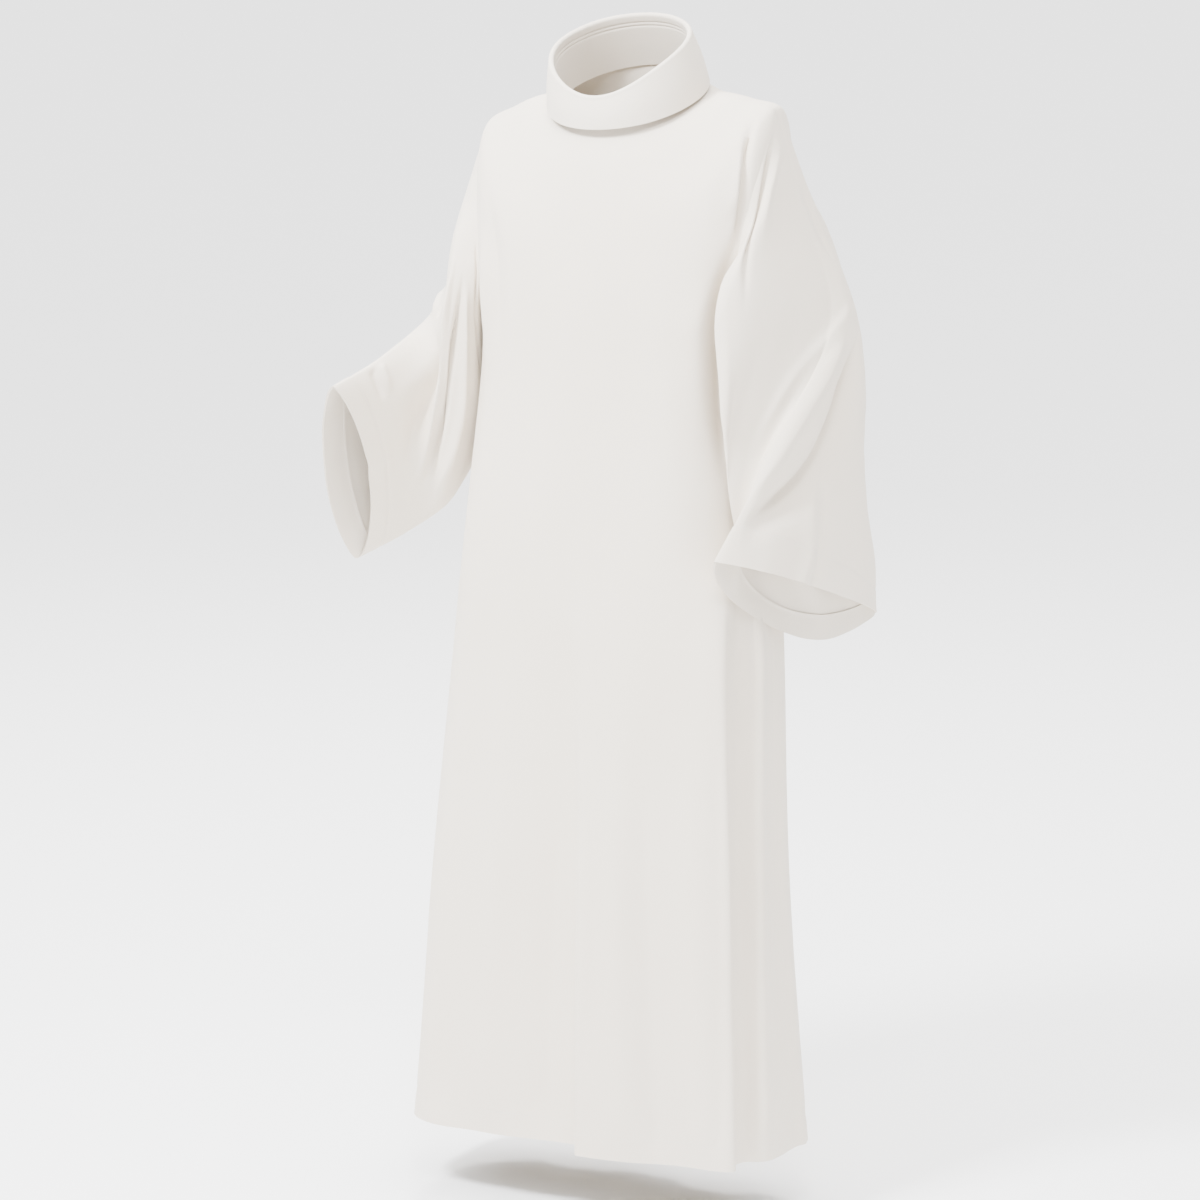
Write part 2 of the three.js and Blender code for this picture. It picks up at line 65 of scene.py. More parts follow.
# ---- The cut and the worn form, in millimetres ----
WALL = 1.6
HEM_GAP = 0.5
NECK_TILT = 24
NECK_RADIUS = 100
NECK_SEAM_HEIGHT = -12
CUFF_HEM_PLACE = 0.93
FOOT_HEM = 36
SHOULDER_TIP = 120
ARMPIT = 440
HEM = 1550
HEM_HEIGHT = -1458
ARMHOLE_REACH = 0.3
SEAM_FADE = 6

COLLAR_FALL_FOOT_HEIGHT = -8
COLLAR_FALL_FOOT_RADIUS = 111
COLLAR_FOLD_RADIUS = 97
COLLAR_HEIGHT = 72
COLLAR_THROAT_DIP = 32
COLLAR_THROAT_SHARPNESS = 5
COLLAR_LAYER_GAP = 1.4


def table(columns, rows):
    """Named columns from rows of numbers."""
    names = columns.split()
    return {name: np.array([row[i] for row in rows], float) for i, name in enumerate(names)}


# Rings of the body from neckline to hem: distance down the side, heights at the side, front and
# back, roll to the wearer's left, half widths, depths before and behind the side line, where that
# line lies, and squareness.
BODY_RINGS = table("path side front back roll left right fore aft sideY square", [
    (0, -11, -51.7, 29.7, 0, 100, 100, 91.4, 91.4, 4.9, 2),
    (35, -18, -88, -8, 2, 133, 133, 107, 102, 6, 2.1),
    (75, -26, -124, -56, 6, 172, 172, 116, 115, 8, 2.2),
    (120, -36, -166, -110, 10, 215, 213, 123, 122, 10, 2.4),
    (200, -116, -222, -178, 6, 220, 218, 129, 130, 12, 2.6),
    (300, -215, -288, -258, 2, 210, 216, 134, 132, 16, 2.7),
    (440, -345, -362, -356, 0, 192, 212, 140, 125, 25, 2.8),
    (620, -525, -532, -530, 0, 192, 234, 138, 120, 28, 2.9),
    (830, -735, -736, -738, 0, 205, 262, 136, 122, 30, 3),
    (1180, -1085, -1084, -1096, 0, 213, 300, 136, 132, 32, 3.4),
    (1550, -1458, -1454, -1482, 4, 234, 332, 134, 146, 34, 3.8),
])

# How far the panels stop short of the side line at the armhole.
ARMHOLE = table("path front back", [
    (120, 0, 0), (180, 62, 48), (250, 88, 66), (330, 84, 62), (400, 48, 36), (440, 0, 0),
])

# The body's main folds: place round the ring at the top and at the hem, heights where the fold
# begins and is full, depth outwards, half widths on the wearer's right and left of its line.
FOLD_COLUMNS = "top hem start full depth near far"
FRONT_FOLDS = table(FOLD_COLUMNS, [
    (-6, -16, -560, -1250, 22, 13, 130),
    (-32, -43, -560, -1250, -22, 150, 15),
    (186, 204, -590, -760, 14, 34, 16),
    (216, 236, -590, -760, -15, 15, 20),
    (-170, -215, -420, -900, -6, 40, 40),
    (95, 112, -500, -1100, -6, 45, 45),
])
BACK_FOLDS = table(FOLD_COLUMNS, [
    (10, 18, -260, -900, -16, 38, 52),
    (88, 104, -300, -800, 12, 30, 40),
    (-74, -96, -300, -1000, 10, 42, 30),
    (-150, -196, -380, -900, -12, 40, 34),
    (160, 190, -420, -1000, -9, 40, 34),
])

# Sleeve sections: along, lens, then the marks top, chest, under and away as x, y, z.
SECTION_COLUMNS = "along lens tx ty tz cx cy cz ux uy uz ax ay az"
LEFT_SECTIONS = [
    (0.3, 0, 248, 30, -165, 203, -90, -300, 214, 50, -430, 252, 116, -290),
    (0.55, 0, 276, 52, -302, 206, -88, -420, 240, 92, -530, 296, 124, -420),
    (0.8, 0.15, 240, -52, -474, 214, -30, -600, 290, 156, -632, 296, 68, -540),
    (1, 0.3, 190, -118, -612, 226, 62, -736, 290, 180, -717, 268, -14, -648),
]
RIGHT_SECTIONS = [
    (0.3, 0, -258, 12, -170, -228, -82, -300, -238, 30, -470, -266, 98, -290),
    (0.55, 0, -296, 4, -296, -245, -80, -410, -286, 26, -568, -312, 74, -400),
    (0.8, 0.15, -316, -115, -364, -292, -80, -480, -342, 0, -620, -356, -44, -480),
    (1, 0.3, -326, -232, -396, -335, -126, -528, -416, -30, -664, -399, -136, -540),
]


def cubic(t, span, start, end, leave, arrive):
    """From start to end, at shares t of a span, with the slopes to leave and to arrive with."""
    t2, t3 = t * t, t * t * t
    return ((2 * t3 - 3 * t2 + 1) * start + (t3 - 2 * t2 + t) * span * leave
            + (3 * t2 - 2 * t3) * end + (t3 - t2) * span * arrive)


def read(rows, key, place, column):
    """Smooth value of a column at places between rows, as a cubic through neighbouring rows."""
    keys, values = rows[key], rows[column]
    last = len(keys) - 1
    number = np.arange(last + 1)
    before, after = np.maximum(number - 1, 0), np.minimum(number + 1, last)
    slope = (values[after] - values[before]) / (keys[after] - keys[before])
    row = np.clip(np.searchsorted(keys, place, side="left") - 1, 0, last - 1)
    span = keys[row + 1] - keys[row]
    t = (place - keys[row]) / span
    return cubic(t, span, values[row], values[row + 1], slope[row], slope[row + 1])


def smooth(value, low, high):
    t = np.clip((value - low) / (high - low), 0, 1)
    return t * t * (3 - 2 * t)


def body_point(path, angle):
    """Points of the body. Angle 0 is the centre front and a quarter turn the wearer's left."""
    path, angle = np.broadcast_arrays(np.asarray(path, float), np.asarray(angle, float))
    ring = {name: read(BODY_RINGS, "path", path, name) for name in BODY_RINGS if name != "path"}
    exponent = 2 / ring["square"]
    aside, ahead = np.sin(angle), np.cos(angle)
    across = np.sign(aside) * np.abs(aside) ** exponent
    forward = np.sign(ahead) * np.abs(ahead) ** exponent
    x = across * np.where(across > 0, ring["left"], ring["right"])
    y = ring["sideY"] - forward * np.where(forward > 0, ring["fore"], ring["aft"])
    tilt = (ring["front"] - ring["back"]) / 2
    arch = (ring["front"] + ring["back"]) / 2 - ring["side"]
    z = ring["side"] + ring["roll"] * aside + tilt * ahead + arch * (1 - aside ** 4)
    return np.stack([x, y, z], axis=-1)


def unit(vectors):
    return vectors / np.maximum(np.linalg.norm(vectors, axis=-1, keepdims=True), 1e-9)


def body_normal(path, angle):
    turn, step = 0.01, 1.0
    around = body_point(path, angle + turn) - body_point(path, angle - turn)
    below, above = np.minimum(path + step, HEM), np.maximum(path - step, 0)
    down = body_point(below, angle) - body_point(above, angle)
    return unit(np.cross(down, around))


def main_folds(folds, place, height):
    """Depth of the body's main folds at places round the ring and heights."""
    depth = np.zeros_like(place)
    for i in range(len(folds["top"])):
        fold = {name: folds[name][i] for name in folds}
        fall = np.clip((fold["start"] - height) / (fold["start"] - HEM_HEIGHT), 0, 1)
        away = place - (fold["top"] + (fold["hem"] - fold["top"]) * fall)
        width = np.where(away < 0, fold["near"], fold["far"])
        grown = smooth(-height, -fold["start"], -fold["full"])
        depth += fold["depth"] * grown * np.exp(-((away / width) ** 2))
    return depth


RING_SAMPLES = 720


def panel_surface(side, paths, columns):
    """A panel's outer points, their flat places (mm round the ring, mm down) and share across."""
    front = side == "front"
    centre, hand, folds = (0, 1, FRONT_FOLDS) if front else (np.pi, -1, BACK_FOLDS)
    share = np.linspace(-1, 1, columns + 1)
    angles = centre + hand * np.pi / 2 * np.linspace(-1, 1, RING_SAMPLES + 1)
    points, places = [], []
    for path in paths:
        ring = body_point(path, angles)
        lengths = np.concatenate([[0], np.cumsum(np.linalg.norm(np.diff(ring, axis=0), axis=1))])
        middle = lengths[RING_SAMPLES // 2]
        cut = 0.0
        if SHOULDER_TIP < path < ARMPIT:
            cut = float(read(ARMHOLE, "path", np.array(path), side))
        left_end, right_end = lengths[-1] - middle - cut, -middle + cut
        along = np.where(share > 0, share * left_end, -share * right_end)
        angle = np.interp(along + middle, lengths, angles)
        place = body_point(path, angle)
        fade = np.minimum(1, (1 - np.abs(share)) * SEAM_FADE)
        depth = main_folds(folds, along, place[:, 2]) * fade
        outward = body_normal(path, angle)
        outward[:, 2] = 0
        points.append(place + unit(outward) * depth[:, None])
        places.append(along)
    return np.array(points), np.array(places), share


def marked_ring(marks, lens, turn):
    """A ring through marks (top, chest, under, away: rows of x, y, z) at turns from the top."""
    top, chest, under, away = marks
    middle = (top + under) / 2
    reach = top - middle
    on_chest = turn <= np.pi
    side = np.where(on_chest[:, None], chest - middle, away - middle)
    lean = (side @ reach)[:, None] * reach / (reach @ reach)
    from_top = np.where(on_chest, turn, 2 * np.pi - turn)
    straight = 1 - 2 * from_top / np.pi
    across = np.cos(from_top) + (straight - np.cos(from_top)) * lens
    bulge = np.maximum(0, 1 - across * across) ** ((1 + lens) / 2)
    return (middle + across[:, None] * reach + bulge[:, None] * (side - lean)
            + bulge[:, None] ** 3 * lean)


def armhole_ring(hand, half):
    """The armhole: from the shoulder tip down the front panel's edge and back up the back's."""
    paths = np.linspace(SHOULDER_TIP, ARMPIT, half + 1)
    column = 1 if hand > 0 else 0
    front = panel_surface("front", paths, 1)[0][:, column]
    back = panel_surface("back", paths, 1)[0][:, column]
    ring = np.concatenate([front[:half], back[half:0:-1]])
    ring[0] = (front[0] + back[0]) / 2
    ring[half] = (front[half] + back[half]) / 2
    return ring


def sleeve_surface(hand, half, alongs):
    """A sleeve's outer points, rows from armhole to cuff, columns round from the top."""
    armhole = armhole_ring(hand, half)
    columns = len(armhole)
    start = (0, 0, *armhole[0], *armhole[half // 2], *armhole[half], *armhole[half + half // 2])
    rows = table(SECTION_COLUMNS, [start, *(LEFT_SECTIONS if hand > 0 else RIGHT_SECTIONS)])
    turn = np.arange(columns) * 2 * np.pi / columns

    def marks_at(along):
        value = [float(read(rows, "along", np.array(along), name))
                 for name in SECTION_COLUMNS.split()[1:]]
        return np.array(value[1:]).reshape(4, 3), value[0]

    shift = armhole - marked_ring(marks_at(0.0)[0], 0, turn)
    grid = []
    for along in alongs:
        marks, lens = marks_at(along)
        keep = 1 - smooth(along, 0, ARMHOLE_REACH)
        grid.append(marked_ring(marks, lens, turn) + shift * keep)
    return np.array(grid), turn


# ---- Creases: soft troughs and ridges laid over the worn form ----
# Each crease is (depth in mm, half width on its right, half width on its left, fade at its start
# and at its end as shares of its length, then its line). On a panel the line's points are mm
# round the ring from the centre line and mm down; on a sleeve they are degrees from the top,
# positive towards the chest, and the share along.
FRONT_CREASES = [
    # the wearer's left shoulder and armhole
    (-12.2, 5, 11, 0.2, 0.3,
     [(276, 104), (256, 113), (244, 132), (236, 165), (228, 205), (214, 262)]),
    (4.1, 16, 10, 0.3, 0.4, [(246, 116), (232, 150), (218, 200)]),
    (-16.2, 18, 14, 0.3, 0.35,
     [(224, 210), (205, 268), (194, 335), (188, 420), (191, 540), (193, 640)]),
    (6.8, 26, 22, 0.4, 0.4, [(168, 240), (156, 330), (152, 440), (160, 560)]),
    # the wearer's right shoulder and side
    (-8.8, 16, 20, 0.35, 0.4, [(-196, 120), (-170, 160), (-160, 240), (-158, 330), (-166, 470)]),
    (6.8, 14, 18, 0.3, 0.4, [(-200, 190), (-190, 260), (-188, 360), (-196, 500)]),
    (-5.4, 24, 30, 0.4, 0.4, [(-108, 150), (-99, 240), (-94, 380), (-92, 520), (-98, 700)]),
    (-3.4, 12, 14, 0.3, 0.4, [(-208, 300), (-202, 400), (-212, 520), (-226, 680)]),
    # across the chest
    (3.2, 40, 46, 0.4, 0.4, [(-40, 140), (-34, 300), (-44, 520), (-60, 760)]),
    (-3.0, 34, 30, 0.4, 0.5, [(40, 160), (52, 330), (60, 540), (52, 760)]),
    (3.5, 30, 34, 0.4, 0.4, [(104, 180), (112, 320), (118, 520), (126, 780)]),
    # the skirt
    (-5.9, 28, 34, 0.5, 0.1, [(-84, 780), (-64, 1040), (-76, 1300), (-88, 1560)]),
    (4.6, 30, 26, 0.5, 0.1, [(-140, 700), (-150, 1000), (-172, 1300), (-186, 1560)]),
    (-5.7, 24, 28, 0.5, 0.1, [(-206, 760), (-222, 1040), (-246, 1300), (-262, 1560)]),
    (3.8, 22, 26, 0.5, 0.1, [(36, 900), (42, 1160), (56, 1560)]),
    (-4.3, 22, 20, 0.5, 0.1, [(72, 860), (84, 1180), (98, 1560)]),
    (4.1, 20, 22, 0.5, 0.1, [(132, 900), (150, 1200), (166, 1560)]),
    (-4.6, 14, 12, 0.4, 0.1, [(170, 760), (180, 1100), (188, 1560)]),
    (-17.6, 8, 15, 0.2, 0.0,
     [(196, 740), (199, 900), (203, 1035), (209, 1175), (212, 1310), (217, 1460), (220, 1570)]),
    (8.8, 10, 12, 0.2, 0.1, [(250, 700), (251, 980), (255, 1250), (259, 1560)]),
    (-4.1, 4, 5, 0.1, 0.6, [(243, 720), (243, 880), (245, 1020)]),
    (-8.1, 10, 12, 0.4, 0.1, [(280, 660), (296, 1100), (316, 1560)]),
    (2.4, 16, 12, 0.4, 0.3, [(2, 980), (-4, 1240), (-10, 1420)]),
    (-2.4, 9, 12, 0.3, 0.1, [(-320, 1240), (-336, 1400), (-352, 1560)]),
]
BACK_CREASES = [
    (-9.0, 18, 22, 0.35, 0.4, [(-204, 120), (-180, 150), (-162, 220), (-152, 330), (-156, 520)]),
    (-9.0, 20, 16, 0.35, 0.4, [(206, 120), (188, 150), (172, 220), (163, 330), (152, 520)]),
    (6.5, 24, 20, 0.3, 0.4, [(-120, 160), (-112, 280), (-116, 460), (-124, 700)]),
    (6.5, 22, 26, 0.3, 0.4, [(134, 170), (124, 300), (120, 500), (126, 760)]),
    (-6.0, 28, 24, 0.4, 0.4, [(-58, 140), (-42, 300), (-46, 520), (-52, 820)]),
    (-5.0, 24, 28, 0.4, 0.4, [(72, 150), (60, 320), (56, 560), (60, 800)]),
    (5.0, 24, 28, 0.4, 0.3, [(8, 230), (2, 460), (-10, 760)]),
    (-3.5, 50, 50, 0.3, 0.3, [(-90, 128), (0, 152), (90, 130)]),
    (8.5, 17, 22, 0.45, 0.0, [(-24, 680), (-30, 1050), (-40, 1560)]),
    (-9.5, 16, 24, 0.45, 0.0, [(46, 760), (56, 1150), (60, 1560)]),
    (8.5, 22, 18, 0.45, 0.0, [(132, 700), (144, 1100), (150, 1560)]),
    (-8.5, 18, 16, 0.45, 0.0, [(-108, 620), (-120, 1100), (-138, 1560)]),
    (9.0, 16, 20, 0.45, 0.0, [(-192, 600), (-210, 1080), (-240, 1560)]),
    (-8.5, 16, 14, 0.45, 0.0, [(210, 640), (224, 1060), (238, 1560)]),
    (6.0, 14, 12, 0.45, 0.0, [(262, 760), (274, 1100), (292, 1560)]),
    (-6.0, 12, 14, 0.45, 0.0, [(-262, 760), (-284, 1120), (-310, 1560)]),
]
LEFT_CREASES = [
    (-9.0, 9, 7, 0.1, 0.4,
     [(8, 0.005), (20, 0.03), (34, 0.1), (46, 0.18), (54, 0.28), (60, 0.42)]),
    (5.0, 13, 10, 0.3, 0.5, [(2, 0.06), (20, 0.11), (32, 0.2), (40, 0.34)]),
    (13.0, 22, 26, 0.2, 0.35,
     [(56, 0.07), (78, 0.13), (92, 0.26), (98, 0.42), (96, 0.6), (84, 0.75)]),
    (-27.0, 22, 11, 0.3, 0.3,
     [(-44, 0.52), (-46, 0.62), (-54, 0.7), (-56, 0.78), (-47, 0.85), (-30, 0.9), (-10, 0.935)]),
    (11.0, 14, 52, 0.3, 0.3,
     [(-22, 0.54), (-22, 0.63), (-22, 0.7), (-19, 0.77), (-12, 0.83), (2, 0.885)]),
    (4.0, 16, 8, 0.2, 0.35, [(-34, 0.49), (-2, 0.585), (18, 0.63), (32, 0.68), (44, 0.72)]),
    (-5.0, 16, 18, 0.3, 0.4, [(-6, 0.18), (-16, 0.3), (-22, 0.44)]),
    (5.0, 20, 24, 0.3, 0.4, [(-40, 0.14), (-52, 0.28), (-58, 0.42)]),
    (-7.0, 18, 16, 0.3, 0.5, [(-100, 0.16), (-110, 0.3), (-116, 0.45), (-124, 0.6)]),
    (8.0, 20, 18, 0.3, 0.4, [(-140, 0.26), (-148, 0.44), (-152, 0.62), (-156, 0.8)]),
    (-6.0, 16, 18, 0.3, 0.3, [(138, 0.3), (136, 0.55), (128, 0.8), (122, 1.0)]),
    (-4.5, 12, 14, 0.4, 0.3, [(30, 0.8), (36, 0.89), (40, 1.0)]),
    (-6.0, 8, 6, 0.35, 0.0, [(-66, 0.79), (-78, 0.86), (-94, 0.94), (-101, 1.02)]),
    (5.0, 6, 12, 0.35, 0.0, [(-58, 0.80), (-70, 0.87), (-86, 0.94), (-93, 1.02)]),
]
RIGHT_CREASES = [
    # the long fold that sweeps down to the underarm, with its ridges
    (-16.0, 10, 10, 0.3, 0.25,
     [(86, 0.13), (98, 0.22), (105, 0.32), (104, 0.46), (103, 0.56), (109, 0.65), (119, 0.71),
      (124, 0.79)]),
    (11.0, 12, 18, 0.2, 0.3,
     [(98, 0.1), (117, 0.25), (126, 0.37), (127, 0.5), (133, 0.64), (141, 0.74)]),
    (9.0, 16, 10, 0.25, 0.3,
     [(68, 0.2), (81, 0.33), (82, 0.47), (88, 0.58), (100, 0.68), (112, 0.78), (124, 0.87)]),
    # the hollow inside the elbow
    (-27.0, 36, 12, 0.15, 0.45,
     [(62, 0.53), (70, 0.59), (77, 0.65), (84, 0.71), (90, 0.79), (96, 0.87)]),
    (-6.0, 7, 8, 0.1, 0.35, [(70, 0.02), (104, 0.03), (140, 0.1), (156, 0.2)]),
    # the wrist and the elbow's point
    (-5.0, 7, 7, 0.3, 0.4, [(4, 0.86), (24, 0.872), (50, 0.877)]),
    (4.0, 8, 8, 0.3, 0.4, [(4, 0.825), (24, 0.835), (46, 0.842)]),
    (7.0, 12, 14, 0.3, 0.4, [(-6, 0.52), (4, 0.55), (14, 0.6)]),
    (-6.0, 6, 6, 0.3, 0.3, [(22, 0.49), (27, 0.53), (25, 0.57)]),
    # the side away from the chest
    (-8.0, 18, 20, 0.3, 0.3, [(-60, 0.2), (-72, 0.42), (-80, 0.64), (-84, 0.82)]),
    (8.0, 20, 18, 0.3, 0.3, [(-104, 0.26), (-112, 0.5), (-118, 0.74), (-118, 0.95)]),
    (-8.0, 16, 16, 0.3, 0.3, [(-146, 0.3), (-150, 0.52), (-150, 0.76), (-146, 0.98)]),
    (4.0, 14, 12, 0.4, 0.1, [(92, 0.88), (86, 0.94), (82, 1.02)]),
]


# Short steps between two of a crease's points, and how far out a crease is worked out.
CREASE_STEPS = 4
CREASE_REACH = 3.5


def rounded(line):
    """A smooth line through a crease's points, in short steps."""
    line = np.array(line, float)
    before = np.concatenate([line[:1], line[:-1]])
    after = np.concatenate([line[1:], line[-1:]])
    slope = (after - before) / 2
    slope[[0, -1]] *= 2
    t = np.linspace(0, 1, CREASE_STEPS + 1)[:-1, None]
    steps = [cubic(t, 1, line[i], line[i + 1], slope[i], slope[i + 1])
             for i in range(len(line) - 1)]
    return np.concatenate([*steps, line[-1:]])


def crease_depth(creases, across, along, across_scale, along_scale, period=None):
    """Summed depth of creases at points of a grid; the scales turn its places into mm."""
    depth = np.zeros(across.shape)
    mean_scale = float(np.mean(across_scale))
    across_scale = np.broadcast_to(across_scale, across.shape)
    for height, right, left, fade_in, fade_out, line in creases:
        line = rounded(line)
        reach = CREASE_REACH * max(right, left)
        middle = (line[:, 0].max() + line[:, 0].min()) / 2
        away = across - middle
        if period:
            away = (away + period / 2) % period - period / 2
        near = ((np.abs(away) < np.ptp(line[:, 0]) / 2 + 1.3 * reach / mean_scale)
                & (along > line[:, 1].min() - reach / along_scale)
                & (along < line[:, 1].max() + reach / along_scale))
        place, scale = away[near] + middle, across_scale[near]
        down = along[near]
        nearest = np.full(place.shape, np.inf)
        offset, share = np.zeros(place.shape), np.zeros(place.shape)
        lengths = np.hypot(*(np.diff(line, axis=0) * (mean_scale, along_scale)).T)
        total, before = lengths.sum(), 0.0
        for (a0, b0), (a1, b1), length in zip(line[:-1], line[1:], lengths):
            da, db = (a1 - a0) * scale, (b1 - b0) * along_scale
            pa, pb = (place - a0) * scale, (down - b0) * along_scale
            t = np.clip((pa * da + pb * db) / np.maximum(da * da + db * db, 1e-9), 0, 1)
            qa, qb = pa - t * da, pb - t * db
            distance = np.hypot(qa, qb)
            closer = distance < nearest
            nearest = np.where(closer, distance, nearest)
            offset = np.where(closer, np.sign(qa * db - qb * da), offset)
            share = np.where(closer, (before + t * length) / total, share)
            before += length
        ends = smooth(share, 0, fade_in) if fade_in else 1.0
        ends = ends * (1 - smooth(share, 1 - fade_out, 1.0)) if fade_out else ends
        width = np.where(offset < 0, right, left)
        depth[near] += height * ends * np.exp(-(nearest / width) ** 1.7)
    return depth


def ripple(across, along, seed, wave, reach, amount):
    """Uneven soft undulation that runs mostly down the cloth."""
    draw = np.random.default_rng(seed)
    total = np.zeros(np.broadcast(across, along).shape)
    for _ in range(7):
        span = wave * draw.uniform(0.55, 1.7)
        drift = draw.uniform(-0.25, 0.25)
        phase, slow, pace = draw.uniform(0, 2 * np.pi, 3)
        total += (np.sin(2 * np.pi * (across + drift * along) / span + phase)
                  * (0.55 + 0.45 * np.sin(2 * np.pi * along / (reach * (0.7 + pace / 6)) + slow)))
    return total * amount / 7


def grid_normals(grid, closed, outward):
    """Unit normals of a grid of points; outward is 1 or -1."""
    down = np.gradient(grid, axis=0)
    if closed:
        around = np.roll(grid, -1, axis=1) - np.roll(grid, 1, axis=1)
    else:
        around = np.gradient(grid, axis=1)
    return unit(np.cross(down, around)) * outward


# ---- Meshes ----
def put(name, data, place=(0, 0, 0)):
    """Puts an object with this data in the scene."""
    thing = bpy.data.objects.new(name, data)
    thing.location = place
    bpy.context.scene.collection.objects.link(thing)
    return thing


def grid_lengths(grid):
    """Flat places of a grid's points, in metres: round each row, and down on the mean."""
    around = np.linalg.norm(np.diff(grid, axis=1), axis=2)
    u = np.concatenate([np.zeros((grid.shape[0], 1)), np.cumsum(around, axis=1)], axis=1)
    down = np.linalg.norm(np.diff(grid, axis=0), axis=2).mean(axis=1)
    v = np.concatenate([[0], np.cumsum(down)])
    return u * MM, np.broadcast_to(v[:, None] * MM, u.shape)


def cloth_mesh(name, outer, inner, closed, flip):
    """A thin closed shell between two grids in mm, with the cloth's own flat places as its UVs."""
    rows, columns = outer.shape[:2]
    points = np.concatenate([outer.reshape(-1, 3), inner.reshape(-1, 3)]) * MM
    number = np.arange(2 * rows * columns).reshape(2, rows, columns)
    if closed:
        number = np.concatenate([number, number[:, :, :1]], axis=2)
    top, under = number

    def cells(block):
        return np.stack([block[:-1, :-1], block[1:, :-1], block[1:, 1:], block[:-1, 1:]], -1)

    front = cells(top).reshape(-1, 4)
    behind = cells(under).reshape(-1, 4)[:, ::-1]
    rims = [
        np.stack([top[0, :-1], top[0, 1:], under[0, 1:], under[0, :-1]], -1),
        np.stack([top[-1, 1:], top[-1, :-1], under[-1, :-1], under[-1, 1:]], -1),
    ]
    if not closed:
        rims.append(np.stack([top[1:, 0], top[:-1, 0], under[:-1, 0], under[1:, 0]], -1))
        rims.append(np.stack([top[:-1, -1], top[1:, -1], under[1:, -1], under[:-1, -1]], -1))
    faces = np.concatenate([front, behind, *rims])
    if flip:
        faces = faces[:, ::-1]
    mesh = bpy.data.meshes.new(name)
    mesh.from_pydata(points.tolist(), [], faces.tolist())
    u, v = grid_lengths(np.concatenate([outer, outer[:, :1]], axis=1) if closed else outer)
    corner = mesh.loops
    loops = np.zeros(len(corner), np.int32)
    corner.foreach_get("vertex_index", loops)
    cell = loops % (rows * columns)
    row, column = cell // columns, cell % columns
    uv = np.stack([u[row, column], v[row, column]], -1)
    if closed:
        face_of = np.repeat(np.arange(len(faces)), 4)
        wraps = np.abs(uv[:, 0].reshape(-1, 4).max(1) - uv[:, 0].reshape(-1, 4).min(1)) > 0.1
        # Faces that cross the seam take the far end's place, so that the weave goes on.
        seam = wraps[face_of] & (column == 0)
        uv[seam, 0] = u[row[seam], columns]
    layer = mesh.uv_layers.new(name="cloth")
    layer.data.foreach_set("uv", uv.astype(np.float32).ravel())
    mesh.validate()
    mesh.shade_smooth()
    mesh.set_sharp_from_angle(angle=math.radians(60))
    return put(name, mesh)


def finish_piece(piece, material, *nodes):
    """Colours a piece, puts it on the body and hides the imported parts that it stands for."""
    piece.data.materials.clear()
    piece.data.materials.append(material)
    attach(piece, "root")
    if nodes:
        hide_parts(*nodes)


# ---- Worn surfaces with their creases ----
ARMHOLE_HALF = 96
SHOULDER_STEPS = 26
SKIRT_STEPS = 168
PANEL_COLUMNS = {"front": 156, "back": 132}
SLEEVE_STEPS = 160
SLEEVE_LENGTH = 600.0
CUFF_HEM_ROWS = 16


def panel_paths():
    """Rows of a panel: over the shoulder, down the armhole and down the skirt."""
    return np.concatenate([
        np.linspace(0, SHOULDER_TIP, SHOULDER_STEPS + 1)[:-1],
        np.linspace(SHOULDER_TIP, ARMPIT, ARMHOLE_HALF + 1)[:-1],
        np.linspace(ARMPIT, HEM, SKIRT_STEPS + 1),
    ])


# Broad shifts of a sleeve: middle (degrees from the top, share along), half widths of both, and
# the shift in mm.
LEFT_SHIFTS = [
    ((92, 0.28), (42, 0.15), (-10, -7, 0)),
    ((78, 0.73), (42, 0.19), (-20, -11, 0)),
]
RIGHT_SHIFTS = [
    ((152, 0.34), (26, 0.2), (7, -3, 0)),
]
SHOULDER_LIFT = 9


def broad_shifts(shifts, degrees, down):
    """Summed shift at points of a sleeve's grid."""
    total = np.zeros(degrees.shape + (3,))
    for (turn, along), (turn_width, along_width), shift in shifts:
        away = (degrees - turn + 180) % 360 - 180
        bump = np.exp(-(away / turn_width) ** 2 - ((down - along) / along_width) ** 2)
        total += bump[..., None] * np.array(shift, float)
    return total


# Seeds of the broad and the fine ripple of each panel, and of each sleeve's one; then each
# ripple's wave across the cloth, its reach down it and its height, in mm.
RIPPLE_SEEDS = {"front": (11, 21), "back": (12, 22), "left": 31, "right": 32}
BROAD_RIPPLE = (150, 900, 2.6)
FINE_RIPPLE = (46, 420, 0.5)
SLEEVE_RIPPLE = (80, 300, 1.6)
# Depth and half width of the furrow along the panels' sewn edges, in mm.
SEAM_FURROW = 0.9
SEAM_FURROW_WIDTH = 3.0
# Depth of the pucker at a hem's stitches, its half width, and the rise of the double cloth.
HEM_PUCKER = 0.7
HEM_PUCKER_WIDTH = 4.0
HEM_RISE = 0.5


def hem_relief(past):
    """A stitched hem's pucker and its double cloth, at places in mm past the hem's line."""
    return -HEM_PUCKER * np.exp(-(past / HEM_PUCKER_WIDTH) ** 2) + HEM_RISE * smooth(past, -3, 3)


